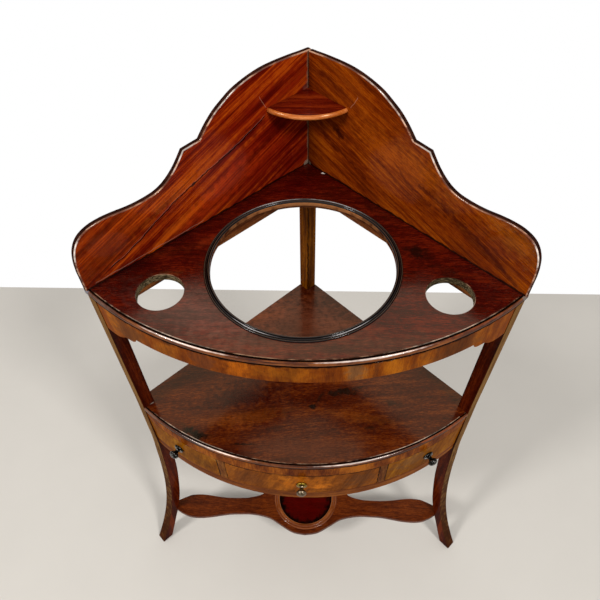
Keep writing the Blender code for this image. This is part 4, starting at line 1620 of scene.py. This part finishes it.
@dataclass
class Stretcher:
    """The shaped platform between the legs, its sunk dish and the ring round it."""

    plan: Plan
    legs: Legs
    finish: Mahogany
    dish_finish: Mahogany
    rim_finish: Mahogany
    arm_width: float = 0.059
    disc_back: float = 0.024
    dish_radius: float = 0.066
    rim_width: float = 0.0127
    land_width: float = 0.0103
    rim_height: float = 0.0034
    rounding: float = 0.0014
    cove: float = 0.002
    dish_depth: float = 0.0065
    dish_unshaded: float = 0.95
    dish_colour: Colour = paint(66, 2, 1)

    def outline(self, middle: float, curve_from: float) -> tuple[list[Point], float]:
        """Draw the platform in plan: a disc round the dish and an arm to each leg.

        Args:
            middle: The height of the platform's middle.
            curve_from: How high the legs' splay starts.

        Returns:
            Its corners, and where the dish's middle lies from back to front.
        """
        plan = self.plan
        splay = share_at(LEG_INNER_SHARES, 1.0 - middle / curve_from) * self.legs.splay_width
        run = self.legs.outer_run - plan.post_side + splay
        tip, heel = (plan.wall_point(Side.RIGHT, run, inward) for inward in (plan.post_side, 0.0))
        arm_y = (tip.y + heel.y) / 2.0
        dish_y = arm_y + self.disc_back
        disc = self.dish_radius + self.rim_width + self.land_width
        length, back_length = tip.x - disc, -plan.corner_y - dish_y - disc
        half_width = self.arm_width / 2.0
        disc_front, disc_rear = (
            [(disc * share * math.sin(math.radians(angle)),
              dish_y - disc * share * math.cos(math.radians(angle))) for angle, share in table]
            for table in (DISC_FRONT_SHARES, DISC_REAR_SHARES)
        )
        front, rear = (
            [(disc + length * along, arm_y - half_width * across) for along, across in table]
            for table in (ARM_FRONT_SHARES, ARM_REAR_SHARES)
        )
        back = [(half_width * across, dish_y + disc + back_length * along)
                for along, across in BACK_ARM_SHARES]
        half = [*smooth_run([*disc_front, *front]), *smooth_run([*rear, *disc_rear, *back])]
        return [*half, *((-x, y) for x, y in reversed(half[1:]))], dish_y

    def build(self) -> None:
        """Make the platform with its dish, and the ring."""
        low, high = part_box("stretcher_platform")
        thickness = high.z - low.z
        outline, dish_y = self.outline(high.z - thickness / 2.0, tier_under())
        centre = Vector((0.0, dish_y, 0.0))
        shape = slab(outline, thickness)
        round_edges(shape, self.rounding)
        bmesh.ops.translate(shape, verts=shape.verts, vec=(0.0, 0.0, low.z + thickness / 2.0))
        # The dish's own finish is near black; a red mark covers its middle and leaves painted shade
        # round the edge
        unshaded_width = 2.0 * self.dish_radius * self.dish_unshaded
        dish = replace(self.dish_finish, marks=(
            Mark(0.0, dish_y, unshaded_width, unshaded_width, self.dish_colour, 1.0, 0.22, raggedness=0.10),
        ))

        def in_dish(face: bmesh.types.BMFace) -> bool:
            """Whether a face belongs to the dish's floor, cove or wall.

            Args:
                face: A face of the platform.

            Returns:
                Whether it does.
            """
            height = face.calc_center_median().z
            return (middle_reach(face, centre) < self.dish_radius + 0.001
                    and low.z + 0.002 < height < high.z - 0.0001)

        Piece("stretcher_platform", shape, self.finish.make(), Slot.LEG,
              cutters=(*self.leg_rooms(low.z, high.z), self.dish_room(centre, high.z)),
              details=((dish.make(), in_dish),)).fit()
        self.rim(centre, high.z + JOINT_GAP)

    def leg_rooms(self, low: float, high: float) -> list[bmesh.types.BMesh]:
        """Shape cutters for the notches round the front legs and the post.

        Args:
            low: The platform's underside.
            high: Its top.

        Returns:
            The cutters.
        """
        rooms = []
        for side in Side:
            outline = self.legs.outline(tier_under(), tier_under() * 1.4)
            room = slab(outline, self.plan.post_side + 2.0 * JOINT_GAP)
            place = wall_frame(self.plan, side, self.plan.post_side / 2.0)
            bmesh.ops.transform(room, matrix=place, verts=room.verts)
            rooms.append(room)
        section = (-JOINT_GAP, self.plan.post_side + JOINT_GAP)
        return [*rooms,
                bar(self.plan, Side.RIGHT, section, section, (low - OVERSHOOT, high + OVERSHOOT))]

    def dish_room(self, centre: Vector, top: float) -> bmesh.types.BMesh:
        """Turn a cutter for the dish, with a cove round its floor.

        Args:
            centre: The dish's middle.
            top: The platform's top.

        Returns:
            The cutter.
        """
        radius, cove, floor = self.dish_radius, self.cove, top - self.dish_depth
        room = turned([
            (0.0, top + 0.004),
            (radius, top + 0.004),
            (radius, floor + cove),
            *arc((radius - cove, floor + cove), (cove, cove), 0.0, -90.0, 5),
            (0.0, floor),
        ], HOLE_STEPS)
        bmesh.ops.translate(room, verts=room.verts, vec=centre)
        return room

    def rim(self, centre: Vector, seat: float) -> None:
        """Make the reeded ring round the dish.

        Args:
            centre: The dish's middle.
            seat: How high its underside lies.
        """
        upper = smooth_run([
            (self.dish_radius + self.rim_width * across, seat + self.rim_height * up)
            for across, up in DISH_RIM_SHARES
        ], 4)
        foot = (self.dish_radius, seat)
        rim = turned([foot, *upper, foot], HOLE_STEPS)
        bmesh.ops.translate(rim, verts=rim.verts, vec=centre)
        Piece("dish_rim", rim, self.rim_finish.make(), Slot.FRONT,
              ring_grain(centre, self.dish_radius)).fit()


@dataclass
class Studio:
    """The pale floor, the soft light and the camera."""

    floor_colour: Colour = (0.66, 0.62, 0.56)
    world_level: float = 0.50
    camera_place: tuple[float, float, float] = (0.013332, -0.825332, 1.501624)
    camera_turn: tuple[float, float, float] = (40.46995, 0.59131, 1.46702)
    lens: float = 32.79
    sensor_width: float = 36.0
    floor_middle: tuple[float, float, float] = (0.0, -2.0, -0.0005)
    floor_size: tuple[float, float, float, float] = (3.0, 2.5, 1.0, 1.0)
    lamp_size: float = 0.5
    lamp_power: float = 44.0
    lit_point: tuple[float, float, float] = (0.0, -0.2, 0.7)

    def floor(self) -> None:
        """Lay the floor up to where the walls would stand."""
        bm = bmesh.new()
        place = Matrix.Translation(self.floor_middle) @ Matrix.Diagonal(self.floor_size)
        bmesh.ops.create_grid(bm, x_segments=8, y_segments=8, size=1.0, matrix=place)
        mesh = bpy.data.meshes.new("floor")
        bm.to_mesh(mesh)
        bm.free()
        obj = bpy.data.objects.new("floor", mesh)
        bpy.context.scene.collection.objects.link(obj)
        bench = Bench("floor_paint")
        mottle = bench.noise(bench.add("TexCoord").outputs["Object"], 3.0, 4.0, 0.6)
        darker = tuple(c * 0.97 for c in self.floor_colour)
        colour = bench.mix(bench.span(mottle, 0.3, 0.7), darker, self.floor_colour)
        mesh.materials.append(bench.finish({"Base Color": colour, "Roughness": 0.85}))

    def lamp(self, name: str, place: Vector) -> None:
        """Hang a square soft lamp that looks at the stand.

        Args:
            name: The lamp's name.
            place: Where it hangs.
        """
        data = bpy.data.lights.new(name, "AREA")
        data.shape = "SQUARE"
        data.size = self.lamp_size
        data.energy = self.lamp_power
        obj = bpy.data.objects.new(name, data)
        obj.location = place
        obj.rotation_euler = (Vector(self.lit_point) - place).to_track_quat("-Z", "Y").to_euler()
        bpy.context.scene.collection.objects.link(obj)

    def world(self) -> None:
        """Make it white where the camera or polish sees it, and an even soft light for the rest."""
        world = bpy.data.worlds.new("studio")
        bpy.context.scene.world = world
        world.use_nodes = True
        tree = world.node_tree
        tree.nodes.clear()
        path = tree.nodes.new("ShaderNodeLightPath")
        seen = path.outputs["Is Camera Ray"]
        for ray in ("Is Glossy Ray", "Is Transmission Ray"):
            either = tree.nodes.new("ShaderNodeMath")
            either.operation = "MAXIMUM"
            tree.links.new(path.outputs[ray], either.inputs[0])
            tree.links.new(seen, either.inputs[1])
            seen = either.outputs[0]
        level = tree.nodes.new("ShaderNodeMapRange")
        level.inputs[3].default_value = self.world_level
        tree.links.new(seen, level.inputs[0])
        background = tree.nodes.new("ShaderNodeBackground")
        background.inputs[0].default_value = (1.0, 1.0, 1.0, 1.0)
        tree.links.new(level.outputs[0], background.inputs[1])
        output = tree.nodes.new("ShaderNodeOutputWorld")
        tree.links.new(background.outputs[0], output.inputs[0])

    def camera(self) -> None:
        """Stand the camera where the photograph was taken."""
        data = bpy.data.cameras.new("camera")
        data.lens = self.lens
        data.sensor_width = self.sensor_width
        obj = bpy.data.objects.new("camera", data)
        obj.location = self.camera_place
        obj.rotation_euler = [math.radians(angle) for angle in self.camera_turn]
        bpy.context.scene.collection.objects.link(obj)
        bpy.context.scene.camera = obj

    def build(self) -> None:
        """Set the stage."""
        self.floor()
        self.lamp("window_left", Vector((-1.9, -1.5, 2.6)))
        self.lamp("window_right", Vector((1.3, -1.7, 2.9)))
        self.world()
        self.camera()
        bpy.context.scene.view_settings.view_transform = "Standard"


# Shares of ribbons, fine lines, flecks, fibres and blotches in a finish
FLECKED = (0.20, 0.12, 0.32, 0.14, 0.22)
FIGURED = (0.34, 0.10, 0.16, 0.10, 0.30)

SPLASH_LEFT = Mahogany(
    "mahogany_splash_left", paint(82, 8, 2), paint(132, 34, 4), paint(180, 74, 9), turn=-21.0,
    shift=3.1, ribbon_length=0.28, ribbon_width=0.012, contrast=1.9,
    shares=(0.36, 0.24, 0.10, 0.12, 0.18), band=0.75, band_length=0.26, band_width=0.012,
    band_colour=paint(94, 15, 3), specular=0.0, coat=0.14,
    marks=(
        Mark(0.10, 0.10, 0.38, 0.30, paint(112, 12, 4), 0.5, 0.9),
        Mark(0.40, 0.06, 0.30, 0.14, paint(156, 62, 11), 0.45, 0.9, -21.0),
        Mark(0.27, 0.085, 0.24, 0.03, paint(176, 78, 15), 0.45, 0.95, -21.0),
        Mark(0.30, 0.020, 0.26, 0.03, paint(170, 74, 12), 0.4, 0.95, -21.0),
        Mark(0.075, 0.03, 0.15, 0.05, paint(84, 6, 3), 0.6, 0.95, -21.0),
        Mark(0.133, 0.115, 0.10, 0.035, paint(76, 9, 4), 0.75, 0.9, -21.0),
        Mark(0.19, 0.045, 0.26, 0.06, paint(156, 44, 8), 0.6, 0.9, -21.0),
        Seam(((0.099, 0.136), (0.144, 0.116), (0.235, 0.088), (0.255, 0.082), (0.315, 0.057),
              (0.368, 0.032), (0.412, 0.017)), 0.0007, paint(150, 110, 104), 0.35),
        Seam(((0.099, 0.134), (0.144, 0.114), (0.235, 0.086), (0.255, 0.080), (0.315, 0.055),
              (0.368, 0.030), (0.412, 0.015)), 0.0014, paint(12, 2, 2), 1.0),
        Mark(0.247, 0.0815, 0.014, 0.006, paint(26, 14, 16), 0.8, 0.5, -25.0),
        Seam(((0.098, 0.145), (0.110, 0.168)), 0.0012, paint(176, 120, 92), 0.6),
        Seam(((0.24, 0.0062), (0.44, 0.0062)), 0.0008, paint(160, 124, 104), 0.5),
        Outline((0.009, 1.0), (-1.0, 1.0), 0.0032, paint(116, 92, 70), 0.7),
        # The dark joint with the top, widened by painted shade along the foot
        Outline((-1.0, 1.0), (0.0024, 1.0), 0.0022, paint(14, 3, 3), 0.95),
        Mark(0.010, 0.002, 0.026, 0.012, paint(128, 112, 96), 0.75, 0.4),
        Mark(0.006, 0.148, 0.030, 0.020, paint(120, 74, 62), 0.5, 0.6),
    ),
)
SPLASH_RIGHT = Mahogany(
    "mahogany_splash_right", paint(74, 19, 1), paint(120, 44, 3), paint(158, 76, 8), turn=-18.0,
    shift=7.7, ribbon_length=0.12, ribbon_width=0.010, contrast=1.4, drift=(0.9, 0.8, 0.8),
    shares=(0.24, 0.20, 0.20, 0.16, 0.20), band=0.5, band_length=0.16, band_width=0.009,
    band_colour=paint(86, 28, 4), pore=0.5, specular=0.0, coat=0.14,
    marks=(
        Mark(0.060, 0.175, 0.09, 0.018, paint(62, 10, 3), 0.7, 0.95, -18.0),
        Mark(0.050, 0.085, 0.10, 0.026, paint(62, 9, 3), 0.6, 0.95, -40.0),
        Mark(0.079, 0.096, 0.05, 0.020, paint(44, 7, 3), 0.9, 0.9, -35.0),
        Mark(0.130, 0.060, 0.12, 0.018, paint(84, 22, 4), 0.5, 0.95, -30.0),
        Mark(0.36, 0.046, 0.20, 0.014, paint(60, 12, 4), 0.6, 0.9, -22.0),
        Mark(0.42, 0.016, 0.12, 0.012, paint(56, 12, 4), 0.6, 0.9, -20.0),
        Mark(0.22, 0.10, 0.34, 0.09, paint(150, 68, 8), 0.5, 0.9, -18.0),
        Mark(0.26, 0.11, 0.20, 0.05, paint(150, 74, 10), 0.35, 0.95, -18.0),
        Mark(0.41, 0.08, 0.16, 0.06, paint(160, 84, 14), 0.45, 0.95, -18.0),
        Seam(((0.243, 0.084), (0.33, 0.058), (0.377, 0.041), (0.417, 0.018)), 0.0040,
             paint(62, 13, 4), 0.6),
        Seam(((0.20, 0.094), (0.245, 0.068), (0.275, 0.058)), 0.0032, paint(70, 16, 4), 0.5),
        Seam(((0.038, 0.081), (0.148, 0.038)), 0.0024, paint(56, 10, 4), 0.5),
        Seam(((0.102, 0.147), (0.116, 0.169)), 0.0012, paint(176, 120, 92), 0.5),
        Outline((0.0093, 1.0), (-1.0, 1.0), 0.0016, paint(110, 84, 66), 0.6),
        # The dark joint with the top, widened by painted shade along the foot
        Outline((-1.0, 1.0), (0.0024, 1.0), 0.0022, paint(14, 3, 3), 0.95),
        Mark(0.010, 0.002, 0.016, 0.010, paint(128, 112, 96), 0.6, 0.4),
    ),
)
SPLASH_EDGE = Mahogany("mahogany_splash_edge", paint(24, 10, 7), paint(42, 20, 14),
                       paint(70, 38, 26), shift=0.9, specular=0.0)
# The boards' front rounding: a paler finish that is a painted highlight along it, and three
# brighter painted highlights
SPLASH_ARRIS = Mahogany("mahogany_splash_arris_painted_highlight", paint(70, 28, 12), paint(104, 52, 28),
                        paint(186, 140, 110), shift=1.7, contrast=1.9, blotch_length=0.03,
                        blotch_width=0.03, shares=FIGURED, coat=0.6, coat_roughness=0.12, bump=0.02,
                        marks=(
                            Mark(0.165, 0.175, 0.09, 0.12, paint(214, 196, 182), 0.8, 0.9),
                            Mark(0.252, 0.140, 0.06, 0.09, paint(224, 208, 196), 0.9, 0.8),
                            Mark(0.452, 0.085, 0.04, 0.09, paint(224, 208, 196), 0.9, 0.8),
                        ))
SOAP_SHELF = Mahogany("mahogany_soap_shelf", paint(52, 3, 1), paint(92, 16, 3), paint(132, 46, 9),
                      shift=1.3, specular=0.3, roughness=0.22,
                      shares=(0.30, 0.16, 0.22, 0.12, 0.20))
SOAP_NOSE = Mahogany("mahogany_soap_nose", paint(140, 62, 14), paint(180, 94, 34),
                     paint(214, 134, 78), shift=2.2, specular=0.5, roughness=0.16, bump=0.03,
                     contrast=1.0)
TOP = Mahogany(
    "mahogany_top", paint(32, 1, 1), paint(60, 5, 2), paint(100, 26, 5), shift=5.2,
    ribbon_length=0.06, ribbon_width=0.007, contrast=1.35, specular=0.48, roughness=0.15,
    shares=FLECKED, drift=(1.0, 0.7, 0.6), blotch_length=0.08, blotch_width=0.04, mottle=0.45,
    mottle_size=0.05, mottle_colour=paint(34, 4, 2), fleck_length=0.008, fleck_width=0.0015,
    marks=(
        Mark(-0.02, -0.055, 0.20, 0.07, paint(62, 2, 1), 0.6, 0.9),
        Mark(0.172, -0.225, 0.07, 0.040, paint(16, 3, 2), 0.95, 0.9, -40.0),
        Mark(0.11, -0.115, 0.06, 0.03, paint(24, 2, 1), 0.6, 0.9, -40.0),
        Mark(0.215, -0.265, 0.07, 0.03, paint(30, 4, 2), 0.6, 0.9, -30.0),
        Mark(-0.24, -0.285, 0.12, 0.03, paint(34, 3, 2), 0.6, 0.9, 30.0),
        Mark(-0.15, -0.20, 0.10, 0.03, paint(104, 30, 8), 0.5, 0.9, 35.0),
        Mark(-0.205, -0.275, 0.06, 0.02, paint(112, 58, 24), 0.4, 0.9, 10.0),
        # Painted sheen over the top's front
        Mark(0.0, -0.40, 0.56, 0.08, paint(88, 48, 30), 0.4, 0.9),
        Mark(-0.27, -0.285, 0.20, 0.10, paint(38, 2, 1), 0.55, 0.9, 30.0),
        # More painted sheen on the front left
        Mark(-0.15, -0.345, 0.30, 0.12, paint(108, 76, 66), 0.28, 1.0, -20.0, 0.2),
        # A small painted glint
        Mark(0.031, -0.024, 0.013, 0.008, paint(240, 226, 214), 0.95, 0.4),
        Mark(-0.317, -0.304, 0.013, 0.010, paint(110, 112, 124), 0.9, 0.4),
        Mark(0.317, -0.300, 0.010, 0.006, paint(150, 140, 128), 0.6, 0.4),
    ),
)
SHELF = Mahogany(
    "mahogany_shelf", paint(34, 4, 1), paint(66, 18, 3), paint(112, 50, 11), shift=9.4, turn=6.0,
    ribbon_length=0.06, ribbon_width=0.008, contrast=1.3, specular=0.38, roughness=0.14,
    shares=FLECKED, blotch_length=0.10, blotch_width=0.035, mottle=0.35, mottle_size=0.05,
    mottle_colour=paint(44, 9, 3), fleck_length=0.008, fleck_width=0.0015,
    marks=(
        Mark(-0.12, -0.335, 0.24, 0.05, paint(122, 58, 12), 0.5, 0.95, 8.0),
        Mark(0.10, -0.33, 0.22, 0.03, paint(116, 56, 14), 0.4, 0.95, -8.0),
        # Painted shade left of the middle, under the top
        Mark(-0.11, -0.29, 0.28, 0.12, paint(36, 1, 1), 0.9, 1.0, 10.0),
        Mark(0.0, -0.395, 0.40, 0.05, paint(70, 26, 10), 0.6, 0.7),
        # Painted sheen, lighter, over the back of the shelf
        Mark(0.0, -0.13, 0.34, 0.26, paint(128, 64, 40), 0.6, 0.9),
        Mark(0.075, -0.276, 0.095, 0.024, paint(20, 6, 3), 0.95, 0.8, 8.0),
        Mark(0.028, -0.290, 0.04, 0.008, paint(30, 9, 4), 0.7, 0.8, 60.0),
        Mark(0.0135, -0.3095, 0.020, 0.016, paint(14, 4, 3), 0.95, 0.6),
        Mark(-0.200, -0.370, 0.085, 0.028, paint(13, 4, 2), 1.0, 0.8, -24.0),
        Mark(-0.110, -0.3885, 0.07, 0.007, paint(18, 5, 3), 0.8, 0.8),
        Mark(-0.055, -0.356, 0.06, 0.012, paint(40, 10, 4), 0.6, 0.8),
        Mark(0.165, -0.300, 0.05, 0.018, paint(28, 8, 4), 0.6, 0.8, -10.0),
        Mark(0.120, -0.352, 0.04, 0.010, paint(20, 6, 3), 0.7, 0.8),
        Mark(-0.296, -0.308, 0.016, 0.010, paint(150, 136, 122), 0.8, 0.5),
        Mark(0.296, -0.304, 0.020, 0.010, paint(150, 132, 116), 0.8, 0.5, -40.0),
    ),
)
BEAD = Mahogany(
    "mahogany_bead", paint(44, 14, 4), paint(84, 38, 10), paint(140, 78, 28), shift=4.1,
    specular=0.0, roughness=0.30, coat=0.5, coat_roughness=0.08, bump=0.02, contrast=1.5,
    shares=FIGURED, ribbon_length=0.08, ribbon_width=0.004,
    marks=(
        Mark(-0.3496, -0.002, 0.016, 0.012, paint(120, 122, 134), 0.95, 0.4),
        Mark(0.345, -0.002, 0.012, 0.012, paint(110, 98, 90), 0.7, 0.4),
        Mark(-0.315, -0.002, 0.08, 0.014, paint(116, 82, 66), 0.6, 0.8),
        # Two long painted highlights along the bead's crest
        Mark(-0.165, -0.0016, 0.17, 0.0024, paint(240, 216, 200), 0.85, 0.7, raggedness=0.12),
        Mark(0.095, -0.0016, 0.19, 0.0024, paint(242, 220, 206), 0.9, 0.7, raggedness=0.12),
        Mark(0.26, -0.0024, 0.16, 0.006, paint(176, 84, 30), 0.5, 0.9),
    ),
)
# Near black in the quirk, and painted shade on the bead's underside
QUIRK = Mahogany("dark_quirk_and_painted_bead_shade", paint(6, 3, 2), paint(12, 6, 4), paint(24, 12, 8), specular=0.0,
                 roughness=0.7)
# The strip inside the quirk and the holes' rims: worn pale in dashes, with two painted highlights
# at the front
WORN_ARRIS_AND_PAINTED_HIGHLIGHTS = Mahogany("mahogany_worn_arris", paint(36, 14, 8), paint(62, 32, 20),
                      paint(138, 104, 80), shift=6.1, contrast=2.0, blotch_length=0.02,
                      blotch_width=0.02, shares=FIGURED, specular=0.1, marks=(
                          Mark(-0.20, -0.385, 0.24, 0.16, paint(178, 158, 140), 0.6, 0.9),
                          Mark(0.21, -0.385, 0.24, 0.16, paint(178, 158, 140), 0.6, 0.9),
                      ))
RAW_HOLE = Mahogany("raw_hole_wall", paint(34, 28, 18), paint(66, 54, 36), paint(128, 112, 84),
                    specular=0.0, roughness=0.8, ribbon_length=0.012, ribbon_width=0.0016,
                    contrast=2.0)
RING = Mahogany("mahogany_ring", paint(10, 5, 4), paint(22, 12, 9), paint(48, 29, 21), contrast=1.0,
                specular=0.0, coat=0.45, roughness=0.20, bump=0.02)
RING_LIP = Mahogany(
    "mahogany_ring_lip", paint(44, 18, 8), paint(82, 40, 20), paint(124, 74, 42), shift=3.3,
    specular=0.0,
    # Painted light: the lip lighter at the back
    marks=(Mark(0.4414, 0.1405, 0.44, 0.2, paint(160, 104, 62), 0.9, 0.9),),
)
APRON = Mahogany(
    "veneer_apron", paint(76, 26, 1), paint(124, 58, 3), paint(176, 100, 14), turn=90.0,
    ribbon_length=0.10, ribbon_width=0.028, shift=2.3, contrast=1.0,
    shares=(0.36, 0.10, 0.12, 0.12, 0.30), specular=0.0, coat=0.10,
    marks=(
        Mark(-0.265, 0.872, 0.11, 0.09, paint(90, 52, 22), 0.7, 0.8),
        Mark(-0.200, 0.87, 0.07, 0.09, paint(170, 100, 24), 0.4, 0.9),
        Mark(-0.200, 0.895, 0.05, 0.012, paint(60, 26, 10), 0.7, 0.9),
        Mark(-0.140, 0.88, 0.055, 0.08, paint(100, 52, 26), 0.7, 0.8),
        Mark(-0.090, 0.88, 0.050, 0.08, paint(184, 94, 8), 0.55, 1.0),
        Mark(-0.02, 0.88, 0.12, 0.06, paint(178, 102, 14), 0.4, 0.9),
        Mark(0.072, 0.88, 0.035, 0.08, paint(108, 78, 48), 0.65, 0.8),
        Mark(0.100, 0.88, 0.012, 0.08, paint(84, 42, 16), 0.6, 0.8),
        Mark(0.22, 0.875, 0.16, 0.10, paint(100, 58, 24), 0.6, 0.8),
        # Painted shadow under the bead, along the apron's top
        Outline((-1.0, 1.0), (0.0, 0.898), 0.0030, paint(20, 9, 4), 0.8),
    ),
)
BAND = Mahogany(
    "veneer_band", paint(74, 26, 3), paint(122, 60, 10), paint(164, 92, 20), turn=90.0,
    ribbon_length=0.05, ribbon_width=0.018, shift=6.3, shares=FIGURED, specular=0.0, coat=0.10,
    # Painted shade in the gaps along its top and bottom
    marks=(Outline((-1.0, 1.0), (0.546, 0.576), 0.0022, paint(16, 7, 3), 0.9),),
)
STILE = Mahogany(
    "veneer_stile", paint(70, 30, 8), paint(108, 60, 20), paint(140, 88, 36), turn=90.0,
    ribbon_length=0.05, ribbon_width=0.008, shift=6.9, shares=FIGURED, specular=0.0, coat=0.10,
    # Painted shade in the gaps at its ends
    marks=(Outline((-0.1657, 0.1572), (-1.0, 1.0), 0.0016, paint(30, 14, 6), 0.9),),
)
LOWER = Mahogany("veneer_lower_rail", paint(70, 27, 6), paint(114, 58, 16), paint(154, 90, 32),
                 shift=8.1, specular=0.0, coat=0.10)
FALSE_FRONT = Mahogany(
    "veneer_false_drawer", paint(88, 42, 3), paint(130, 75, 8), paint(170, 113, 22), turn=78.0,
    shift=4.4, shares=FIGURED, contrast=0.85, ribbon_width=0.013, ribbon_length=0.06, specular=0.0,
    coat=0.08, drift=(1.0, 0.9, 0.8),
    marks=(
        Mark(-0.20, 0.50, 0.09, 0.06, paint(76, 44, 14), 0.5, 0.9, -30.0),
        Mark(-0.175, 0.545, 0.05, 0.03, paint(170, 112, 46), 0.5, 0.9),
        Mark(0.21, 0.52, 0.12, 0.08, paint(106, 70, 38), 0.7, 0.9),
        # Painted shade in the gaps along its top and bottom
        Outline((-1.0, 1.0), (0.440, 0.546), 0.0016, paint(24, 11, 5), 0.8),
    ),
)
DRAWER_FRONT = Mahogany(
    "veneer_drawer", paint(78, 36, 5), paint(121, 63, 12), paint(166, 96, 22), turn=72.0,
    waviness=0.05, shift=0.6, shares=FIGURED, contrast=0.8, ribbon_width=0.012, ribbon_length=0.08,
    specular=0.0, coat=0.08,
    marks=(
        Mark(-0.105, 0.51, 0.10, 0.10, paint(104, 56, 20), 0.7, 0.8),
        Mark(0.005, 0.51, 0.16, 0.10, paint(170, 92, 16), 0.75, 0.9),
        Mark(0.03, 0.50, 0.05, 0.035, paint(204, 114, 24), 0.6, 0.9, 20.0),
        Mark(-0.035, 0.53, 0.05, 0.02, paint(180, 104, 26), 0.5, 0.9, -30.0),
        Mark(0.105, 0.51, 0.09, 0.09, paint(100, 60, 30), 0.6, 0.8),
        # Painted shade in the gap round the drawer
        Outline((-0.1500, 0.1418), (0.471, 0.5457), 0.0026, paint(14, 6, 3), 0.95),
    ),
)
LEG = Mahogany(
    "mahogany_leg", paint(34, 4, 1), paint(68, 17, 3), paint(106, 40, 8), shift=2.9,
    ribbon_length=0.16, ribbon_width=0.010, specular=0.0, coat=0.12,
    marks=(
        # Painted shade: a dark line up one edge of the leg's upper part
        Seam(((0.44, 0.4292), (0.95, 0.4292)), 0.0050, paint(40, 10, 4), 0.6),
        Mark(0.47, 0.45, 0.10, 0.2, paint(44, 12, 5), 0.5, 0.9),
    ),
)
# The legs' outward sides in a paler copy of their wood, a painted sheen, darker towards the floor
LEG_PAINTED_SHEEN = Mahogany(
    "mahogany_leg_painted_sheen", paint(72, 44, 18), paint(114, 78, 38), paint(150, 112, 60), shift=3.9,
    contrast=1.0, specular=0.0, coat=0.06,
    marks=(Mark(0.0, 0.50, 1.10, 2.0, paint(64, 30, 11), 1.0, 0.95),),
)
POST = Mahogany(
    "mahogany_post", paint(60, 22, 1), paint(102, 50, 2), paint(142, 82, 9), shift=6.6,
    ribbon_width=0.005, specular=0.01,
    marks=(
        Seam(((0.45, 0.0012), (1.0, 0.0012)), 0.0016, paint(26, 10, 3), 0.7),
        Seam(((0.45, 0.0150), (1.0, 0.0150)), 0.0030, paint(150, 84, 20), 0.4),
    ),
)
RAW_BACK = Mahogany("mahogany_unpolished_back", paint(40, 19, 9), paint(72, 38, 20),
                    paint(108, 66, 40), shift=4.7, specular=0.0, roughness=0.75)
RAIL = Mahogany("mahogany_rail", paint(56, 22, 8), paint(98, 50, 22), paint(140, 86, 44),
                specular=0.04, roughness=0.6, shift=1.9)
PLATFORM = Mahogany("mahogany_platform", paint(40, 8, 2), paint(78, 28, 7), paint(112, 50, 14),
                    shift=3.7, ribbon_length=0.08, ribbon_width=0.008, contrast=1.3, specular=0.12,
                    shares=FLECKED)
# Near black: painted shade, which shows only round the dish's edge
DISH = Mahogany("mahogany_dish_painted_edge_shade", paint(6, 1, 1), paint(12, 2, 1), paint(22, 4, 2), shift=0.4,
                contrast=1.2, specular=0.06, shares=FLECKED)
RIM = Mahogany("mahogany_rim", paint(66, 24, 6), paint(108, 50, 15), paint(150, 84, 36), shift=5.5,
               specular=0.0, coat=0.5, coat_roughness=0.14, bump=0.03)
OAK = Oak("oak_inside", paint(98, 66, 38), paint(160, 122, 82))
BRASS = Metal("brass_knob", paint(146, 122, 46), paint(60, 44, 12))
WORN_SILVER = Metal("knob_head_worn", paint(124, 110, 90), paint(62, 50, 38), 0.3)
DARK_BRASS = Metal("knob_dark", paint(150, 148, 144), paint(24, 22, 20), 0.16, 0.36, 0.48)
IRON = Metal("iron_nut", paint(110, 104, 98), paint(70, 50, 40), 0.5)


def dress_kept_nodes() -> None:
    """Give the CAD pieces that stay as they are their own finish."""
    iron = IRON.make()
    ways = {0.0: "_across", 90.0: "_backward", 45.0: "_left_wall", -45.0: "_right_wall"}
    oaks = {turn: replace(OAK, name=OAK.name + way, turn=turn).make() for turn, way in ways.items()}
    lengthwise = ("drawer_side", "drawer_runner", "drawer_guide", "drawer_kicker")
    for name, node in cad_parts.items():
        if node.hide_render:
            continue
        turn = 90.0 if name.startswith(lengthwise) else 0.0
        if name.startswith(("tier_wall", "rail_glue_block")):
            turn = 45.0 if name.endswith(Side.LEFT.label) else -45.0
        node.data.materials.clear()
        node.data.materials.append(iron if name.endswith("_nut") else oaks[turn])
        log.info("%s keeps its CAD shape", name)


def main() -> None:
    """Build the stand part by part, then set the stage."""
    logging.basicConfig(level=logging.INFO, format="%(message)s")
    plan = Plan.from_frame()
    legs = Legs(plan, LEG, LEG_PAINTED_SHEEN, POST)
    board_finishes = (BEAD, QUIRK, WORN_ARRIS_AND_PAINTED_HIGHLIGHTS, RAW_HOLE, RAW_BACK)
    SplashBoards(plan, SPLASH_LEFT, SPLASH_RIGHT, SOAP_SHELF, SPLASH_EDGE, SPLASH_ARRIS, SOAP_NOSE,
                 RAW_BACK).build()
    TopBoard(plan, "top_board", Slot.TOP, TOP, *board_finishes, ring_finish=RING,
             lip_finish=RING_LIP).make()
    TopFrame(plan, legs.outer_run, APRON, RAIL).build()
    legs.build()
    ShelfBoard(plan, "shelf_board", Slot.SHELF, SHELF,
               *board_finishes).make(legs.outer_run - plan.post_side)
    TierFronts(plan, BAND, STILE, LOWER, FALSE_FRONT).build()
    Drawer(plan, DRAWER_FRONT, RAIL).build()
    Knob(plan, "drawer_knob", WORN_SILVER, BRASS, Body.DRAWER).build()
    for side in Side:
        Knob(plan, "false_drawer_knob_" + side.label, DARK_BRASS, DARK_BRASS).build()
    Stretcher(plan, legs, PLATFORM, DISH, RIM).build()
    dress_kept_nodes()
    Studio().build()


if __name__ == "__main__":
    main()
